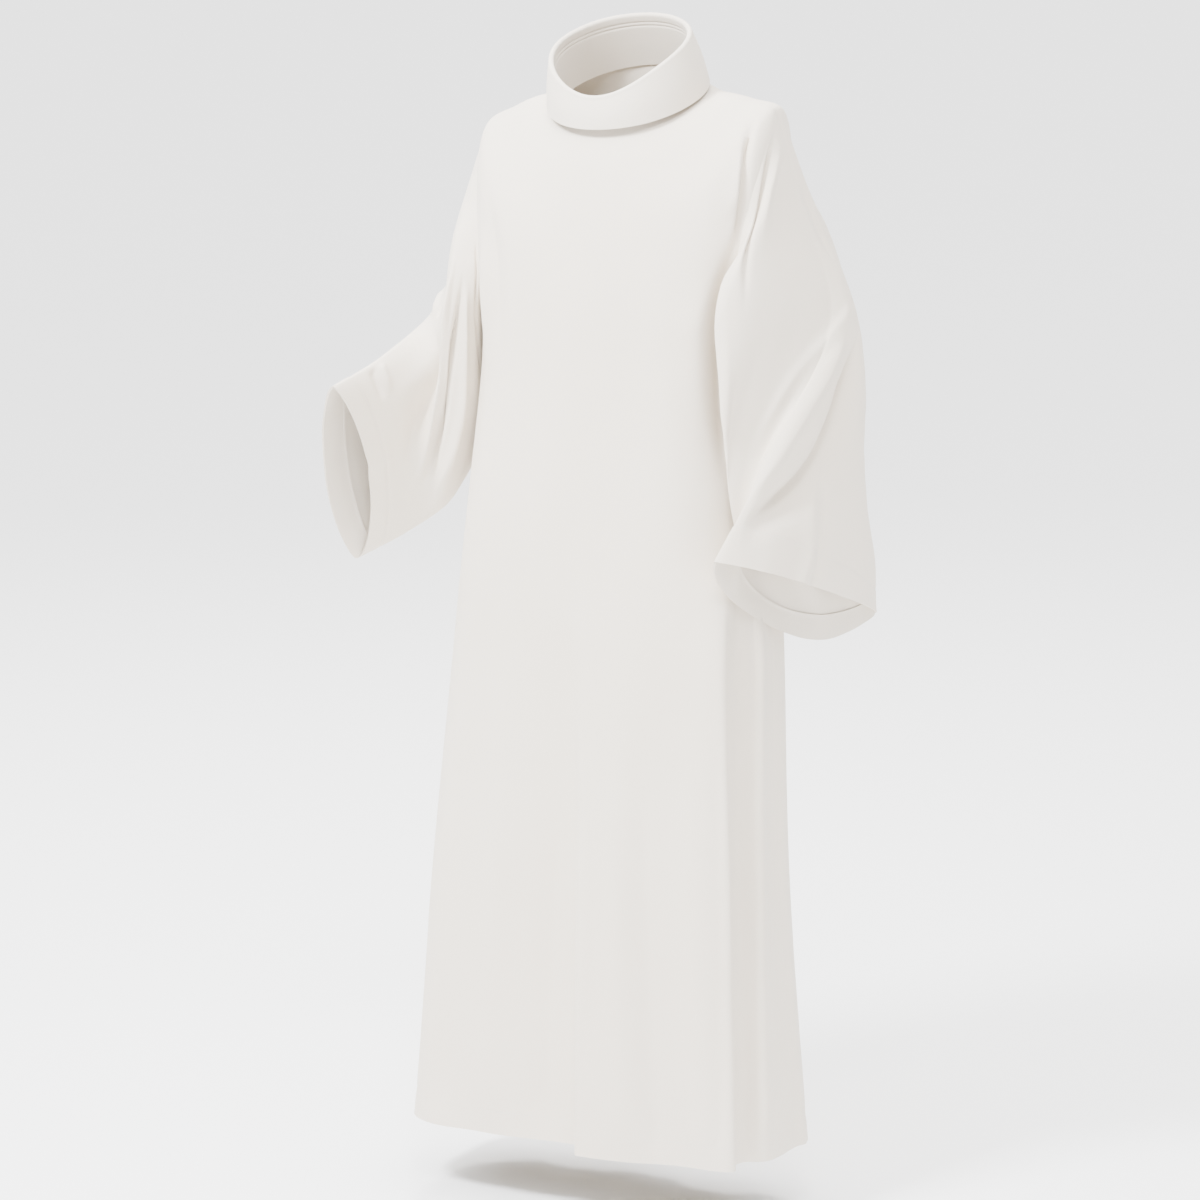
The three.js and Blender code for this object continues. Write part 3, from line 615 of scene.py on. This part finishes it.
def worn_panel(side, amount):
    """A panel's creased outer grid and its normals."""
    paths = panel_paths()
    grid, places, share = panel_surface(side, paths, PANEL_COLUMNS[side])
    from_edge = np.minimum(places - places[:, :1], places[:, -1:] - places)
    outward = 1 if side == "front" else -1
    normals = grid_normals(grid, False, outward)
    down = np.broadcast_to(paths[:, None], places.shape)
    creases = FRONT_CREASES if side == "front" else BACK_CREASES
    depth = crease_depth(creases, places, down, 1.0, 1.0)
    # The broad ripple grows as the cloth hangs free below the chest.
    hang = smooth(down, 300, 900)
    broad, fine = RIPPLE_SEEDS[side]
    depth += ripple(places, down, broad, *BROAD_RIPPLE) * (0.35 + 0.65 * hang)
    depth += ripple(places, down, fine, *FINE_RIPPLE)
    past_hem = down - (HEM - FOOT_HEM)
    depth += hem_relief(past_hem)
    # Small gathers run along the hem's stitches.
    depth += (0.5 * np.sin(places / 5.2 + 1.4 * np.sin(places / 23))
              * np.exp(-(past_hem / 12.0) ** 2))
    # The creases fade out at the seams and the neck, but run into the armhole.
    in_armhole = smooth(down, SHOULDER_TIP - 4, SHOULDER_TIP + 36) * (
        1 - smooth(down, ARMPIT - 50, ARMPIT))
    edge = np.minimum(1, (1 - np.abs(share)) * 9)[None, :]
    neck = smooth(down, 2, 30)
    fade = np.maximum(edge, in_armhole * 0.999) * neck
    grid = grid + normals * (depth * fade * amount)[..., None]
    seam = np.exp(-(from_edge / SEAM_FURROW_WIDTH) ** 2) * (1 - in_armhole)
    grid = grid - normals * (SEAM_FURROW * seam * neck)[..., None]
    shoulder = smooth(down, 4, 50) * (1 - smooth(down, 60, SHOULDER_TIP - 4))
    grid[..., 2] += SHOULDER_LIFT * shoulder * np.abs(share)[None, :] ** 2
    return grid, grid_normals(grid, False, outward)


def armhole_of(front, back, hand):
    """The creased armhole ring, down the front panel's edge and back up the back's."""
    first = SHOULDER_STEPS
    last = first + ARMHOLE_HALF
    column = -1 if hand > 0 else 0
    down, up = front[first:last + 1, column], back[first:last + 1, column]
    ring = np.concatenate([down[:-1], up[:0:-1]])
    ring[0] = (down[0] + up[0]) / 2
    ring[ARMHOLE_HALF] = (down[-1] + up[-1]) / 2
    return ring


def worn_sleeve(side, front, back, amount):
    """A sleeve's creased outer grid and its normals."""
    hand, creases, shifts = ((1, LEFT_CREASES, LEFT_SHIFTS) if side == "left"
                             else (-1, RIGHT_CREASES, RIGHT_SHIFTS))
    alongs = np.concatenate([
        np.linspace(0, CUFF_HEM_PLACE, SLEEVE_STEPS - CUFF_HEM_ROWS + 1)[:-1],
        np.linspace(CUFF_HEM_PLACE, 1, CUFF_HEM_ROWS + 1),
    ])
    grid, turn = sleeve_surface(hand, ARMHOLE_HALF, alongs)
    normals = grid_normals(grid, True, -hand)
    degrees = np.broadcast_to(np.degrees(turn)[None, :], grid.shape[:2])
    down = np.broadcast_to(alongs[:, None], grid.shape[:2])
    girth = np.linalg.norm(np.diff(np.concatenate([grid, grid[:, :1]], 1), axis=1), axis=2).sum(1)
    scale = np.broadcast_to((girth / 360)[:, None], grid.shape[:2])
    depth = crease_depth(creases, degrees, down, scale, SLEEVE_LENGTH, 360)
    around = degrees * scale
    seam_blend = smooth(np.minimum(degrees, 360 - degrees), 0, 14)
    depth += ripple(around, down * SLEEVE_LENGTH, RIPPLE_SEEDS[side],
                    *SLEEVE_RIPPLE) * seam_blend
    depth += hem_relief((down - CUFF_HEM_PLACE) * SLEEVE_LENGTH)
    grow = smooth(down, 0, 0.045)
    shape = grid + normals * (depth * grow * amount)[..., None]
    shape += broad_shifts(shifts, degrees, down) * (smooth(down, 0.01, 0.16) * amount)[..., None]
    ring = armhole_of(front, back, hand)
    shape = shape + (ring - grid[0])[None] * (1 - smooth(down, 0, 0.12))[..., None]
    return shape, grid_normals(shape, True, -hand)


# How far the collar's two stitched rows lie below its fold, and their grooves' depth and half
# width, in mm.
COLLAR_STITCH_LINES = (9.0, 14.0)
COLLAR_GROOVE = 0.9
COLLAR_GROOVE_WIDTH = 1.3


def worn_collar(amount):
    """The collar's outer skin as rows of sections: up the fall, over the fold, down the stand."""
    around, up, over = 168, 16, 9
    near_fold = np.arange(1.5, 19.0, 1.25)
    angles = np.linspace(0, 2 * np.pi, around, endpoint=False)
    tilt = math.radians(NECK_TILT)
    axis = np.array([0, -math.sin(tilt), math.cos(tilt)])
    ahead = np.array([0, -math.cos(tilt), -math.sin(tilt)])
    dip = COLLAR_THROAT_DIP * ((1 + np.cos(angles)) / 2) ** COLLAR_THROAT_SHARPNESS
    top = COLLAR_FALL_FOOT_HEIGHT + COLLAR_HEIGHT - dip
    stand = COLLAR_FOLD_RADIUS - 2 * WALL - COLLAR_LAYER_GAP
    half = (COLLAR_FOLD_RADIUS - stand) / 2
    wave = (1.3 * np.sin(2 * angles + 0.6) + 0.9 * np.sin(3 * angles + 2.1)
            + 0.5 * np.sin(7 * angles + 0.4)) * amount
    lift = 1.6 + 1.0 * np.cos(angles) + 0.7 * np.sin(5 * angles + 1.0) * amount
    # The fall's foot stands off where the collar lifts, and lies closer and lower behind.
    behind = (1 - np.cos(angles)) / 2
    foot_radius = COLLAR_FALL_FOOT_RADIUS + 0.6 + 0.4 * lift - 6.0 * behind
    foot_height = COLLAR_FALL_FOOT_HEIGHT + 0.5 * lift - 7.0 * behind ** 2
    rows = []
    for i in range(up + 1):
        t = i / up
        bow = 2.2 * math.sin(math.pi * t)
        radius = foot_radius + (COLLAR_FOLD_RADIUS - foot_radius) * t + bow + wave * t * (1.2 - t)
        height = foot_height + (top - half - foot_height) * t
        rows.append((radius, height))
    for i in range(1, over + 1):
        turn = math.pi * i / over
        radius = (COLLAR_FOLD_RADIUS + stand) / 2 + half * math.cos(turn) + 0.2 * wave
        rows.append((radius, top - half + half * math.sin(turn) + 0.15 * wave))
    inside_foot = NECK_RADIUS - WALL
    stand_length = top - half - NECK_SEAM_HEIGHT
    steps = list(near_fold) + [near_fold[-1] + (stand_length - near_fold[-1]) * i / up
                               for i in range(1, up + 1)]
    for step in steps:
        groove = COLLAR_GROOVE * sum(np.exp(-((step - line) / COLLAR_GROOVE_WIDTH) ** 2)
                                     for line in COLLAR_STITCH_LINES)
        t = step / stand_length
        radius = stand + (inside_foot - stand) * t + 0.2 * wave * (1 - t) + groove
        rows.append((radius, top - half - step))
    grid = np.array([
        (radius * np.sin(angles))[:, None] * np.array([1.0, 0, 0])
        + (radius * np.cos(angles))[:, None] * ahead
        + np.broadcast_to(height, angles.shape)[:, None] * axis
        for radius, height in rows])
    stitched = [up + over + 1 + int(np.argmin(np.abs(near_fold - line)))
                for line in COLLAR_STITCH_LINES]
    return grid, grid_normals(grid, True, 1), stitched


# ---- Materials ----
def add(tree, kind, place, values=None, **settings):
    """A node with its settings and its inputs' values; a value may be another node's output."""
    node = tree.nodes.new(kind)
    node.location = place
    for name, value in settings.items():
        setattr(node, name, value)
    for name, value in (values or {}).items():
        if isinstance(value, bpy.types.NodeSocket):
            tree.links.new(value, node.inputs[name])
        else:
            node.inputs[name].default_value = value
    return node


def new_material(name, values):
    """A material whose shader has these values; returns it, its nodes and the shader."""
    material = bpy.data.materials.new(name)
    material.use_nodes = True
    tree = material.node_tree
    tree.nodes.clear()
    shader = add(tree, "ShaderNodeBsdfPrincipled", (620, 0), values)
    add(tree, "ShaderNodeOutputMaterial", (900, 0), {"Surface": shader.outputs[0]})
    return material, tree, shader


def maths(tree, operation, first, second):
    return add(tree, "ShaderNodeMath", (-200, 0), {0: first, 1: second},
               operation=operation).outputs[0]


def noise(tree, place, vector, scale, detail=2.0):
    return add(tree, "ShaderNodeTexNoise", place,
               {"Vector": vector, "Scale": scale, "Detail": detail},
               noise_dimensions="3D").outputs["Fac"]


def tint(tree, factor, dark, light, shader):
    """Lets the shader's colour run between two by a factor."""
    blend = add(tree, "ShaderNodeMix", (200, 200),
                {"Factor": factor, "A": (*dark, 1), "B": (*light, 1)}, data_type="RGBA")
    tree.links.new(blend.outputs["Result"], shader.inputs["Base Color"])


def thread_wave(tree, uv, axis, size):
    """Height of the threads that run across one axis of the cloth."""
    values = {"Vector": uv, "Scale": 0.5 / size, "Distortion": 0.6, "Detail": 1.0,
              "Detail Scale": 0.3}
    return add(tree, "ShaderNodeTexWave", (-600, 0), values, wave_type="BANDS",
               bands_direction=axis, wave_profile="SIN").outputs["Fac"]


def cloth_material(name, colour, shade, size, weave, soft):
    """Matt woven cloth: threads both ways, slubs, faint tone changes and a soft sheen."""
    material, tree, shader = new_material(name, {
        "Roughness": 0.82, "Specular IOR Level": 0.28, "Sheen Weight": 0.22,
        "Sheen Roughness": 0.45, "Sheen Tint": (1.0, 0.985, 0.96, 1)})
    uv = add(tree, "ShaderNodeUVMap", (-900, 0), uv_map="cloth").outputs[0]
    place = add(tree, "ShaderNodeTexCoord", (-900, -300)).outputs["Object"]
    woven = maths(tree, "MAXIMUM", thread_wave(tree, uv, "X", size),
                  thread_wave(tree, uv, "Y", size))
    drawn_out = add(tree, "ShaderNodeMapping", (-750, -300),
                    {"Vector": uv, "Scale": (900, 140, 1)}).outputs[0]
    slub = noise(tree, (-600, -300), drawn_out, 1.0, 3.0)
    tone = noise(tree, (-600, -600), place, 3.2, 3.0)
    mixed = maths(tree, "ADD", maths(tree, "MULTIPLY", slub, 0.35),
                  maths(tree, "MULTIPLY", tone, 0.65))
    spread = add(tree, "ShaderNodeMapRange", (0, 200),
                 {"Value": mixed, "From Min": 0.25, "From Max": 0.7})
    tint(tree, spread.outputs[0], shade, colour, shader)
    crinkle = noise(tree, (-600, -900), place, 26.0, 4.0)
    rumple = add(tree, "ShaderNodeBump", (200, -400),
                 {"Strength": soft, "Distance": 0.0012, "Height": crinkle})
    height = maths(tree, "ADD", woven, maths(tree, "MULTIPLY", slub, 0.8))
    bump = add(tree, "ShaderNodeBump", (380, -200), {
        "Strength": weave, "Distance": 0.00025, "Height": height,
        "Normal": rumple.outputs[0]})
    tree.links.new(bump.outputs[0], shader.inputs["Normal"])
    return material


def mottled_material(name, colour, grain, dark, values):
    """A plain material whose colour varies a little from place to place."""
    material, tree, shader = new_material(name, values)
    place = add(tree, "ShaderNodeTexCoord", (-600, 0)).outputs["Object"]
    tint(tree, noise(tree, (-300, 0), place, grain), [c * dark for c in colour], colour, shader)
    return material


def alb_cloth():
    """The cloth's material, made once."""
    cloth = bpy.context.scene.alb_cloth
    return bpy.data.materials.get("alb_cloth") or cloth_material(
        "alb_cloth", tuple(cloth.colour), tuple(cloth.shade), cloth.weave_size,
        cloth.weave_depth, cloth.rumple)


# ---- Stitches ----
def stitch_tree():
    """Geometry nodes that lay rounded stitches end to end along the edges of a line mesh."""
    tree = bpy.data.node_groups.new("alb_stitches", "GeometryNodeTree")
    tree.is_modifier = True
    face = tree.interface
    face.new_socket("Geometry", in_out="INPUT", socket_type="NodeSocketGeometry")
    for name, value in (("Stitch length", 0.0032), ("Spacing", 0.0042), ("Thickness", 0.0007)):
        socket = face.new_socket(name, in_out="INPUT", socket_type="NodeSocketFloat")
        socket.default_value, socket.min_value, socket.subtype = value, 0.0, "DISTANCE"
    face.new_socket("Thread", in_out="INPUT", socket_type="NodeSocketMaterial")
    face.new_socket("Geometry", in_out="OUTPUT", socket_type="NodeSocketGeometry")
    given = add(tree, "NodeGroupInput", (-800, 0)).outputs
    curve = add(tree, "GeometryNodeMeshToCurve", (-600, 0), {"Mesh": given["Geometry"]})
    even = add(tree, "GeometryNodeResampleCurve", (-400, 0),
               {"Curve": curve.outputs[0], "Length": given["Spacing"]}, mode="LENGTH")
    ball = add(tree, "GeometryNodeMeshUVSphere", (-600, -300),
               {"Segments": 6, "Rings": 4, "Radius": 0.5})
    size = add(tree, "ShaderNodeCombineXYZ", (-400, -400), {
        "X": given["Thickness"], "Y": given["Thickness"], "Z": given["Stitch length"]})
    stitch = add(tree, "GeometryNodeTransform", (-200, -300),
                 {"Geometry": ball.outputs["Mesh"], "Scale": size.outputs[0]})
    tangent = add(tree, "GeometryNodeInputTangent", (-400, -150))
    turn = add(tree, "FunctionNodeAlignRotationToVector", (-200, -150),
               {"Vector": tangent.outputs[0]}, axis="Z")
    laid = add(tree, "GeometryNodeInstanceOnPoints", (100, 0), {
        "Points": even.outputs[0], "Instance": stitch.outputs[0],
        "Rotation": turn.outputs["Rotation"]})
    real = add(tree, "GeometryNodeRealizeInstances", (300, 0), {"Geometry": laid.outputs[0]})
    smoothed = add(tree, "GeometryNodeSetShadeSmooth", (450, 0), {"Geometry": real.outputs[0]})
    coloured = add(tree, "GeometryNodeSetMaterial", (650, 0),
                   {"Geometry": smoothed.outputs[0], "Material": given["Thread"]})
    add(tree, "NodeGroupOutput", (900, 0), {"Geometry": coloured.outputs[0]})
    return tree


def sew(name, lines, closed):
    """Makes one plain mesh piece of the stitches along lines of points in mm."""
    stitches = bpy.context.scene.alb_stitches
    points, edges = [], []
    for line in lines:
        first = len(points)
        points += (np.asarray(line) * MM).tolist()
        edges += [(first + i, first + i + 1) for i in range(len(line) - 1)]
        if closed:
            edges.append((first + len(line) - 1, first))
    mesh = bpy.data.meshes.new(name + "_line")
    mesh.from_pydata(points, edges, [])
    guide = put(name + "_line", mesh)
    tree = bpy.data.node_groups.get("alb_stitches") or stitch_tree()
    thread = bpy.data.materials.get("alb_thread") or mottled_material(
        "alb_thread", tuple(stitches.colour), 1400, 0.8, {"Roughness": 0.55, "Sheen Weight": 0.3})
    modifier = guide.modifiers.new("stitches", "NODES")
    modifier.node_group = tree
    sockets = {item.name: item.identifier for item in tree.interface.items_tree
               if item.in_out == "INPUT"}
    for label, value in (("Stitch length", stitches.length), ("Spacing", stitches.spacing),
                         ("Thickness", stitches.thickness), ("Thread", thread)):
        modifier[sockets[label]] = value
    depsgraph = bpy.context.evaluated_depsgraph_get()
    sewn = bpy.data.meshes.new_from_object(guide.evaluated_get(depsgraph), depsgraph=depsgraph)
    bpy.data.objects.remove(guide)
    if not len(sewn.polygons):
        raise RuntimeError(f"{name} has no stitches")
    sewn.name = name
    piece = put(name, sewn)
    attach(piece, "root")


# ---- Sizes and colours ----
class AlbClothSettings(bpy.types.PropertyGroup):
    thickness: bpy.props.FloatProperty(
        name="Cloth thickness", description="One layer of cloth", default=0.0011,
        min=0.0004, max=0.0016, subtype="DISTANCE", unit="LENGTH")
    crease_amount: bpy.props.FloatProperty(
        name="Crease amount", description="Share of the creases' depth that is shown",
        default=1.0, min=0.0, max=1.5, subtype="FACTOR")
    colour: bpy.props.FloatVectorProperty(
        name="Cloth colour", description="Warm white of the cloth", size=3,
        default=(0.77, 0.695, 0.598), min=0, max=1, subtype="COLOR")
    shade: bpy.props.FloatVectorProperty(
        name="Cloth shade", description="Slightly deeper tone between the threads", size=3,
        default=(0.73, 0.65, 0.545), min=0, max=1, subtype="COLOR")
    weave_size: bpy.props.FloatProperty(
        name="Weave size", description="Size of the weave; its threads lie 0.63 of this apart",
        default=0.0007, min=0.0002, max=0.002, subtype="DISTANCE", unit="LENGTH")
    weave_depth: bpy.props.FloatProperty(
        name="Weave depth", description="How strongly the weave shows", default=0.35,
        min=0.0, max=1.0, subtype="FACTOR")
    rumple: bpy.props.FloatProperty(
        name="Rumple", description="How strongly the cloth's small unevenness shows",
        default=0.3, min=0.0, max=1.0, subtype="FACTOR")


class AlbStitchSettings(bpy.types.PropertyGroup):
    length: bpy.props.FloatProperty(
        name="Stitch length", description="Length of one stitch", default=0.0030,
        min=0.001, max=0.01, subtype="DISTANCE", unit="LENGTH")
    spacing: bpy.props.FloatProperty(
        name="Stitch spacing", description="From one stitch to the next", default=0.0040,
        min=0.001, max=0.02, subtype="DISTANCE", unit="LENGTH")
    thickness: bpy.props.FloatProperty(
        name="Thread thickness", description="Thickness of the thread", default=0.0006,
        min=0.0002, max=0.002, subtype="DISTANCE", unit="LENGTH")
    colour: bpy.props.FloatVectorProperty(
        name="Thread colour", description="Colour of the sewing thread", size=3,
        default=(0.80, 0.765, 0.71), min=0, max=1, subtype="COLOR")


class AlbStageSettings(bpy.types.PropertyGroup):
    floor_drop: bpy.props.FloatProperty(
        name="Floor below hem", description="Room between the lowest hem and the floor",
        default=0.075, min=0.0, max=1.0, subtype="DISTANCE", unit="LENGTH")
    floor_colour: bpy.props.FloatVectorProperty(
        name="Floor colour", description="Pale studio floor", size=3,
        default=(0.9, 0.9, 0.9), min=0, max=1, subtype="COLOR")
    light: bpy.props.FloatProperty(
        name="Light", description="Brightness of the studio lights", default=1.0,
        min=0.0, max=5.0, subtype="FACTOR")


# ---- Pieces ----
# How far a stitch's middle stands off the cloth, in mm.
STITCH_RISE = 0.15

# The worn surfaces (grid, normals) of the pieces, by name, once they are made.
WORN = {}


def worn(name):
    """A worn surface (grid, normals), made once."""
    if name not in WORN:
        amount = bpy.context.scene.alb_cloth.crease_amount
        if name in ("front", "back"):
            WORN[name] = worn_panel(name, amount)
        else:
            WORN[name] = worn_sleeve(name, worn("front")[0], worn("back")[0], amount)
    return WORN[name]


def layer(grid, normals, depth):
    """A grid moved in from the outside of the cloth by depth, in mm."""
    return grid - normals * depth


def hem_layer(name, grid, normals, rows, closed, flip, node, thickness):
    """The turned-up layer inside an edge, over the last rows of the cloth's grid."""
    grid, normals = grid[-rows:], normals[-rows:]
    near = layer(grid, normals, thickness + HEM_GAP)
    far = layer(grid, normals, 2 * thickness + HEM_GAP)
    piece = cloth_mesh(name, near, far, closed, flip)
    finish_piece(piece, alb_cloth(), node)


class ALB_OT_panel(bpy.types.Operator):
    """Makes the front or back panel with its turned-up hem"""
    bl_idname = "alb.panel"
    bl_label = "Panel"
    side: bpy.props.EnumProperty(
        name="Side", description="Which panel is made",
        items=(("front", "Front", "Front panel"), ("back", "Back", "Back panel")))

    def execute(self, context):
        grid, normals = worn(self.side)
        thickness = context.scene.alb_cloth.thickness / MM
        flip = self.side == "back"
        piece = cloth_mesh(self.side + "_cloth", grid, layer(grid, normals, thickness),
                           False, flip)
        finish_piece(piece, alb_cloth(), self.side + "_panel")
        hem_rows = 1 + int(np.sum(panel_paths() > HEM - FOOT_HEM))
        hem_layer("hem_turned_" + self.side, grid, normals, hem_rows, False, flip,
                  "hem_" + self.side, thickness)
        return {"FINISHED"}


class ALB_OT_sleeve(bpy.types.Operator):
    """Makes a sleeve with its turned-up cuff hem"""
    bl_idname = "alb.sleeve"
    bl_label = "Sleeve"
    side: bpy.props.EnumProperty(
        name="Side", description="Which sleeve is made",
        items=(("left", "Left", "Wearer's left"), ("right", "Right", "Wearer's right")))

    def execute(self, context):
        grid, normals = worn(self.side)
        thickness = context.scene.alb_cloth.thickness / MM
        flip = self.side == "left"
        piece = cloth_mesh("sleeve_cloth_" + self.side, grid, layer(grid, normals, thickness),
                           True, flip)
        finish_piece(piece, alb_cloth(), "sleeve_" + self.side)
        hem_layer("cuff_turned_" + self.side, grid, normals, CUFF_HEM_ROWS + 1, True, flip,
                  "cuff_hem_" + self.side, thickness)
        return {"FINISHED"}


class ALB_OT_collar(bpy.types.Operator):
    """Makes the fold-over roll collar"""
    bl_idname = "alb.collar"
    bl_label = "Collar"

    def execute(self, context):
        grid, normals, _ = worn_collar(context.scene.alb_cloth.crease_amount)
        thickness = context.scene.alb_cloth.thickness / MM
        inner = layer(grid, normals, 1.3 * thickness)
        piece = cloth_mesh("collar_cloth", grid, inner, True, True)
        finish_piece(piece, alb_cloth(), "collar")
        return {"FINISHED"}


def both_faces(name, row, thickness):
    """A row's lines of stitches on the cloth's outside and on the turned hem's inside."""
    grid, normals = worn(name)
    return [grid[row] + normals[row] * out for out in
            (STITCH_RISE, -(2 * thickness + HEM_GAP + STITCH_RISE))]


class ALB_OT_stitching(bpy.types.Operator):
    """Sews the hems, cuffs and collar"""
    bl_idname = "alb.stitching"
    bl_label = "Stitching"

    def execute(self, context):
        thickness = context.scene.alb_cloth.thickness / MM
        paths = panel_paths()
        hem_row = int(np.argmin(np.abs(paths - (HEM - FOOT_HEM + 3))))
        for side in ("front", "back"):
            sew("hem_stitches_" + side, both_faces(side, hem_row, thickness), False)
        for side in ("left", "right"):
            sew("cuff_stitches_" + side, both_faces(side, -CUFF_HEM_ROWS, thickness), True)
        grid, normals, stitched = worn_collar(context.scene.alb_cloth.crease_amount)
        sew("collar_stitches", [grid[row] + normals[row] * STITCH_RISE for row in stitched], True)
        return {"FINISHED"}


# The stage, in metres, watts and degrees. Lamps: name, place, aim, width, power and colour.
FLOOR_REACH = 400.0
BACKDROP_SHOW = 2.2
BACKDROP_LIGHT = 0.5
CEILING_LIGHT = 9.2
LAMPS = (
    ("key", (-0.85, -2.45, 2.35), (0, 0, -0.3), 0.8, 480, (0.94, 0.97, 1.0)),
    ("side", (1.6, -2.8, 2.9), (0, 0, -0.3), 0.9, 190, (0.98, 0.985, 1.0)),
    ("back", (-2.2, 3.2, 2.6), (0, 0, -0.4), 0.9, 260, (1.0, 0.99, 0.97)),
)
CAMERA_LENS = 113.4
CAMERA_PLACE = (2.3609, -4.5208, 0.17)
CAMERA_TURN = (80.37, 0, 28)


class ALB_OT_stage(bpy.types.Operator):
    """Makes the pale floor, the soft studio light and the camera"""
    bl_idname = "alb.stage"
    bl_label = "Stage"

    def execute(self, context):
        stage = context.scene.alb_stage
        scene = context.scene
        low = CAD_BOX[0][2] - stage.floor_drop
        far = FLOOR_REACH
        mesh = bpy.data.meshes.new("floor")
        mesh.from_pydata([(-far, -far, low), (far, -far, low), (far, far, low),
                          (-far, far, low)], [], [(0, 1, 2, 3)])
        floor = put("floor", mesh)
        mesh.materials.append(mottled_material(
            "studio_floor", tuple(stage.floor_colour), 1.5, 0.985, {"Roughness": 0.7}))
        world = bpy.data.worlds.new("studio")
        world.use_nodes = True
        tree = world.node_tree
        background = tree.nodes["Background"]
        background.inputs["Color"].default_value = (1.0, 1.0, 1.0, 1)
        # The backdrop shows brighter than the light that it gives.
        seen = add(tree, "ShaderNodeLightPath", (-400, 0)).outputs["Is Camera Ray"]
        strength = add(tree, "ShaderNodeMath", (-200, 0),
                       {0: seen, 1: BACKDROP_SHOW * stage.light, 2: BACKDROP_LIGHT * stage.light},
                       operation="MULTIPLY_ADD")
        tree.links.new(strength.outputs[0], background.inputs["Strength"])
        scene.world = world
        for name, place, aim, width, power, colour in LAMPS:
            lamp = bpy.data.lights.new(name, "AREA")
            lamp.size = width
            lamp.color = colour
            lamp.energy = power * stage.light
            holder = put(name, lamp, place)
            direction = Vector(aim) - Vector(place)
            holder.rotation_euler = direction.to_track_quat("-Z", "Y").to_euler()
        ceiling = bpy.data.lights.new("ceiling", "SUN")
        ceiling.energy = CEILING_LIGHT * stage.light
        ceiling.angle = math.radians(110)
        put("ceiling", ceiling, (0, 0, 4))
        camera = bpy.data.cameras.new("camera")
        camera.sensor_width = 36.0
        camera.lens = CAMERA_LENS
        camera.clip_end = 2000.0
        eye = put("camera", camera, CAMERA_PLACE)
        eye.rotation_euler = [math.radians(turn) for turn in CAMERA_TURN]
        scene.camera = eye
        return {"FINISHED"}


class ALB_PT_sidebar(bpy.types.Panel):
    """Lists the alb's sizes, colours and pieces"""
    bl_idname = "ALB_PT_sidebar"
    bl_label = "Alb"
    bl_space_type = "VIEW_3D"
    bl_region_type = "UI"
    bl_category = "Alb"

    def draw(self, context):
        layout = self.layout
        for settings in (context.scene.alb_cloth, context.scene.alb_stitches,
                         context.scene.alb_stage):
            box = layout.box()
            for name in settings.__annotations__:
                box.prop(settings, name)
        column = layout.column()
        for side in ("front", "back"):
            column.operator("alb.panel", text=side.capitalize() + " panel").side = side
        for side in ("left", "right"):
            column.operator("alb.sleeve", text=side.capitalize() + " sleeve").side = side
        for name in ("alb.collar", "alb.stitching", "alb.stage"):
            column.operator(name)


CLASSES = (AlbClothSettings, AlbStitchSettings, AlbStageSettings, ALB_OT_panel, ALB_OT_sleeve,
           ALB_OT_collar, ALB_OT_stitching, ALB_OT_stage, ALB_PT_sidebar)


def register():
    for cls in CLASSES:
        bpy.utils.register_class(cls)
    bpy.types.Scene.alb_cloth = bpy.props.PointerProperty(type=AlbClothSettings)
    bpy.types.Scene.alb_stitches = bpy.props.PointerProperty(type=AlbStitchSettings)
    bpy.types.Scene.alb_stage = bpy.props.PointerProperty(type=AlbStageSettings)


def unregister():
    for name in ("alb_cloth", "alb_stitches", "alb_stage"):
        delattr(bpy.types.Scene, name)
    for cls in reversed(CLASSES):
        bpy.utils.unregister_class(cls)


def main():
    register()
    for side in ("front", "back"):
        bpy.ops.alb.panel(side=side)
    for side in ("left", "right"):
        bpy.ops.alb.sleeve(side=side)
    bpy.ops.alb.collar()
    bpy.ops.alb.stitching()
    bpy.ops.alb.stage()


if __name__ == "__main__":
    main()
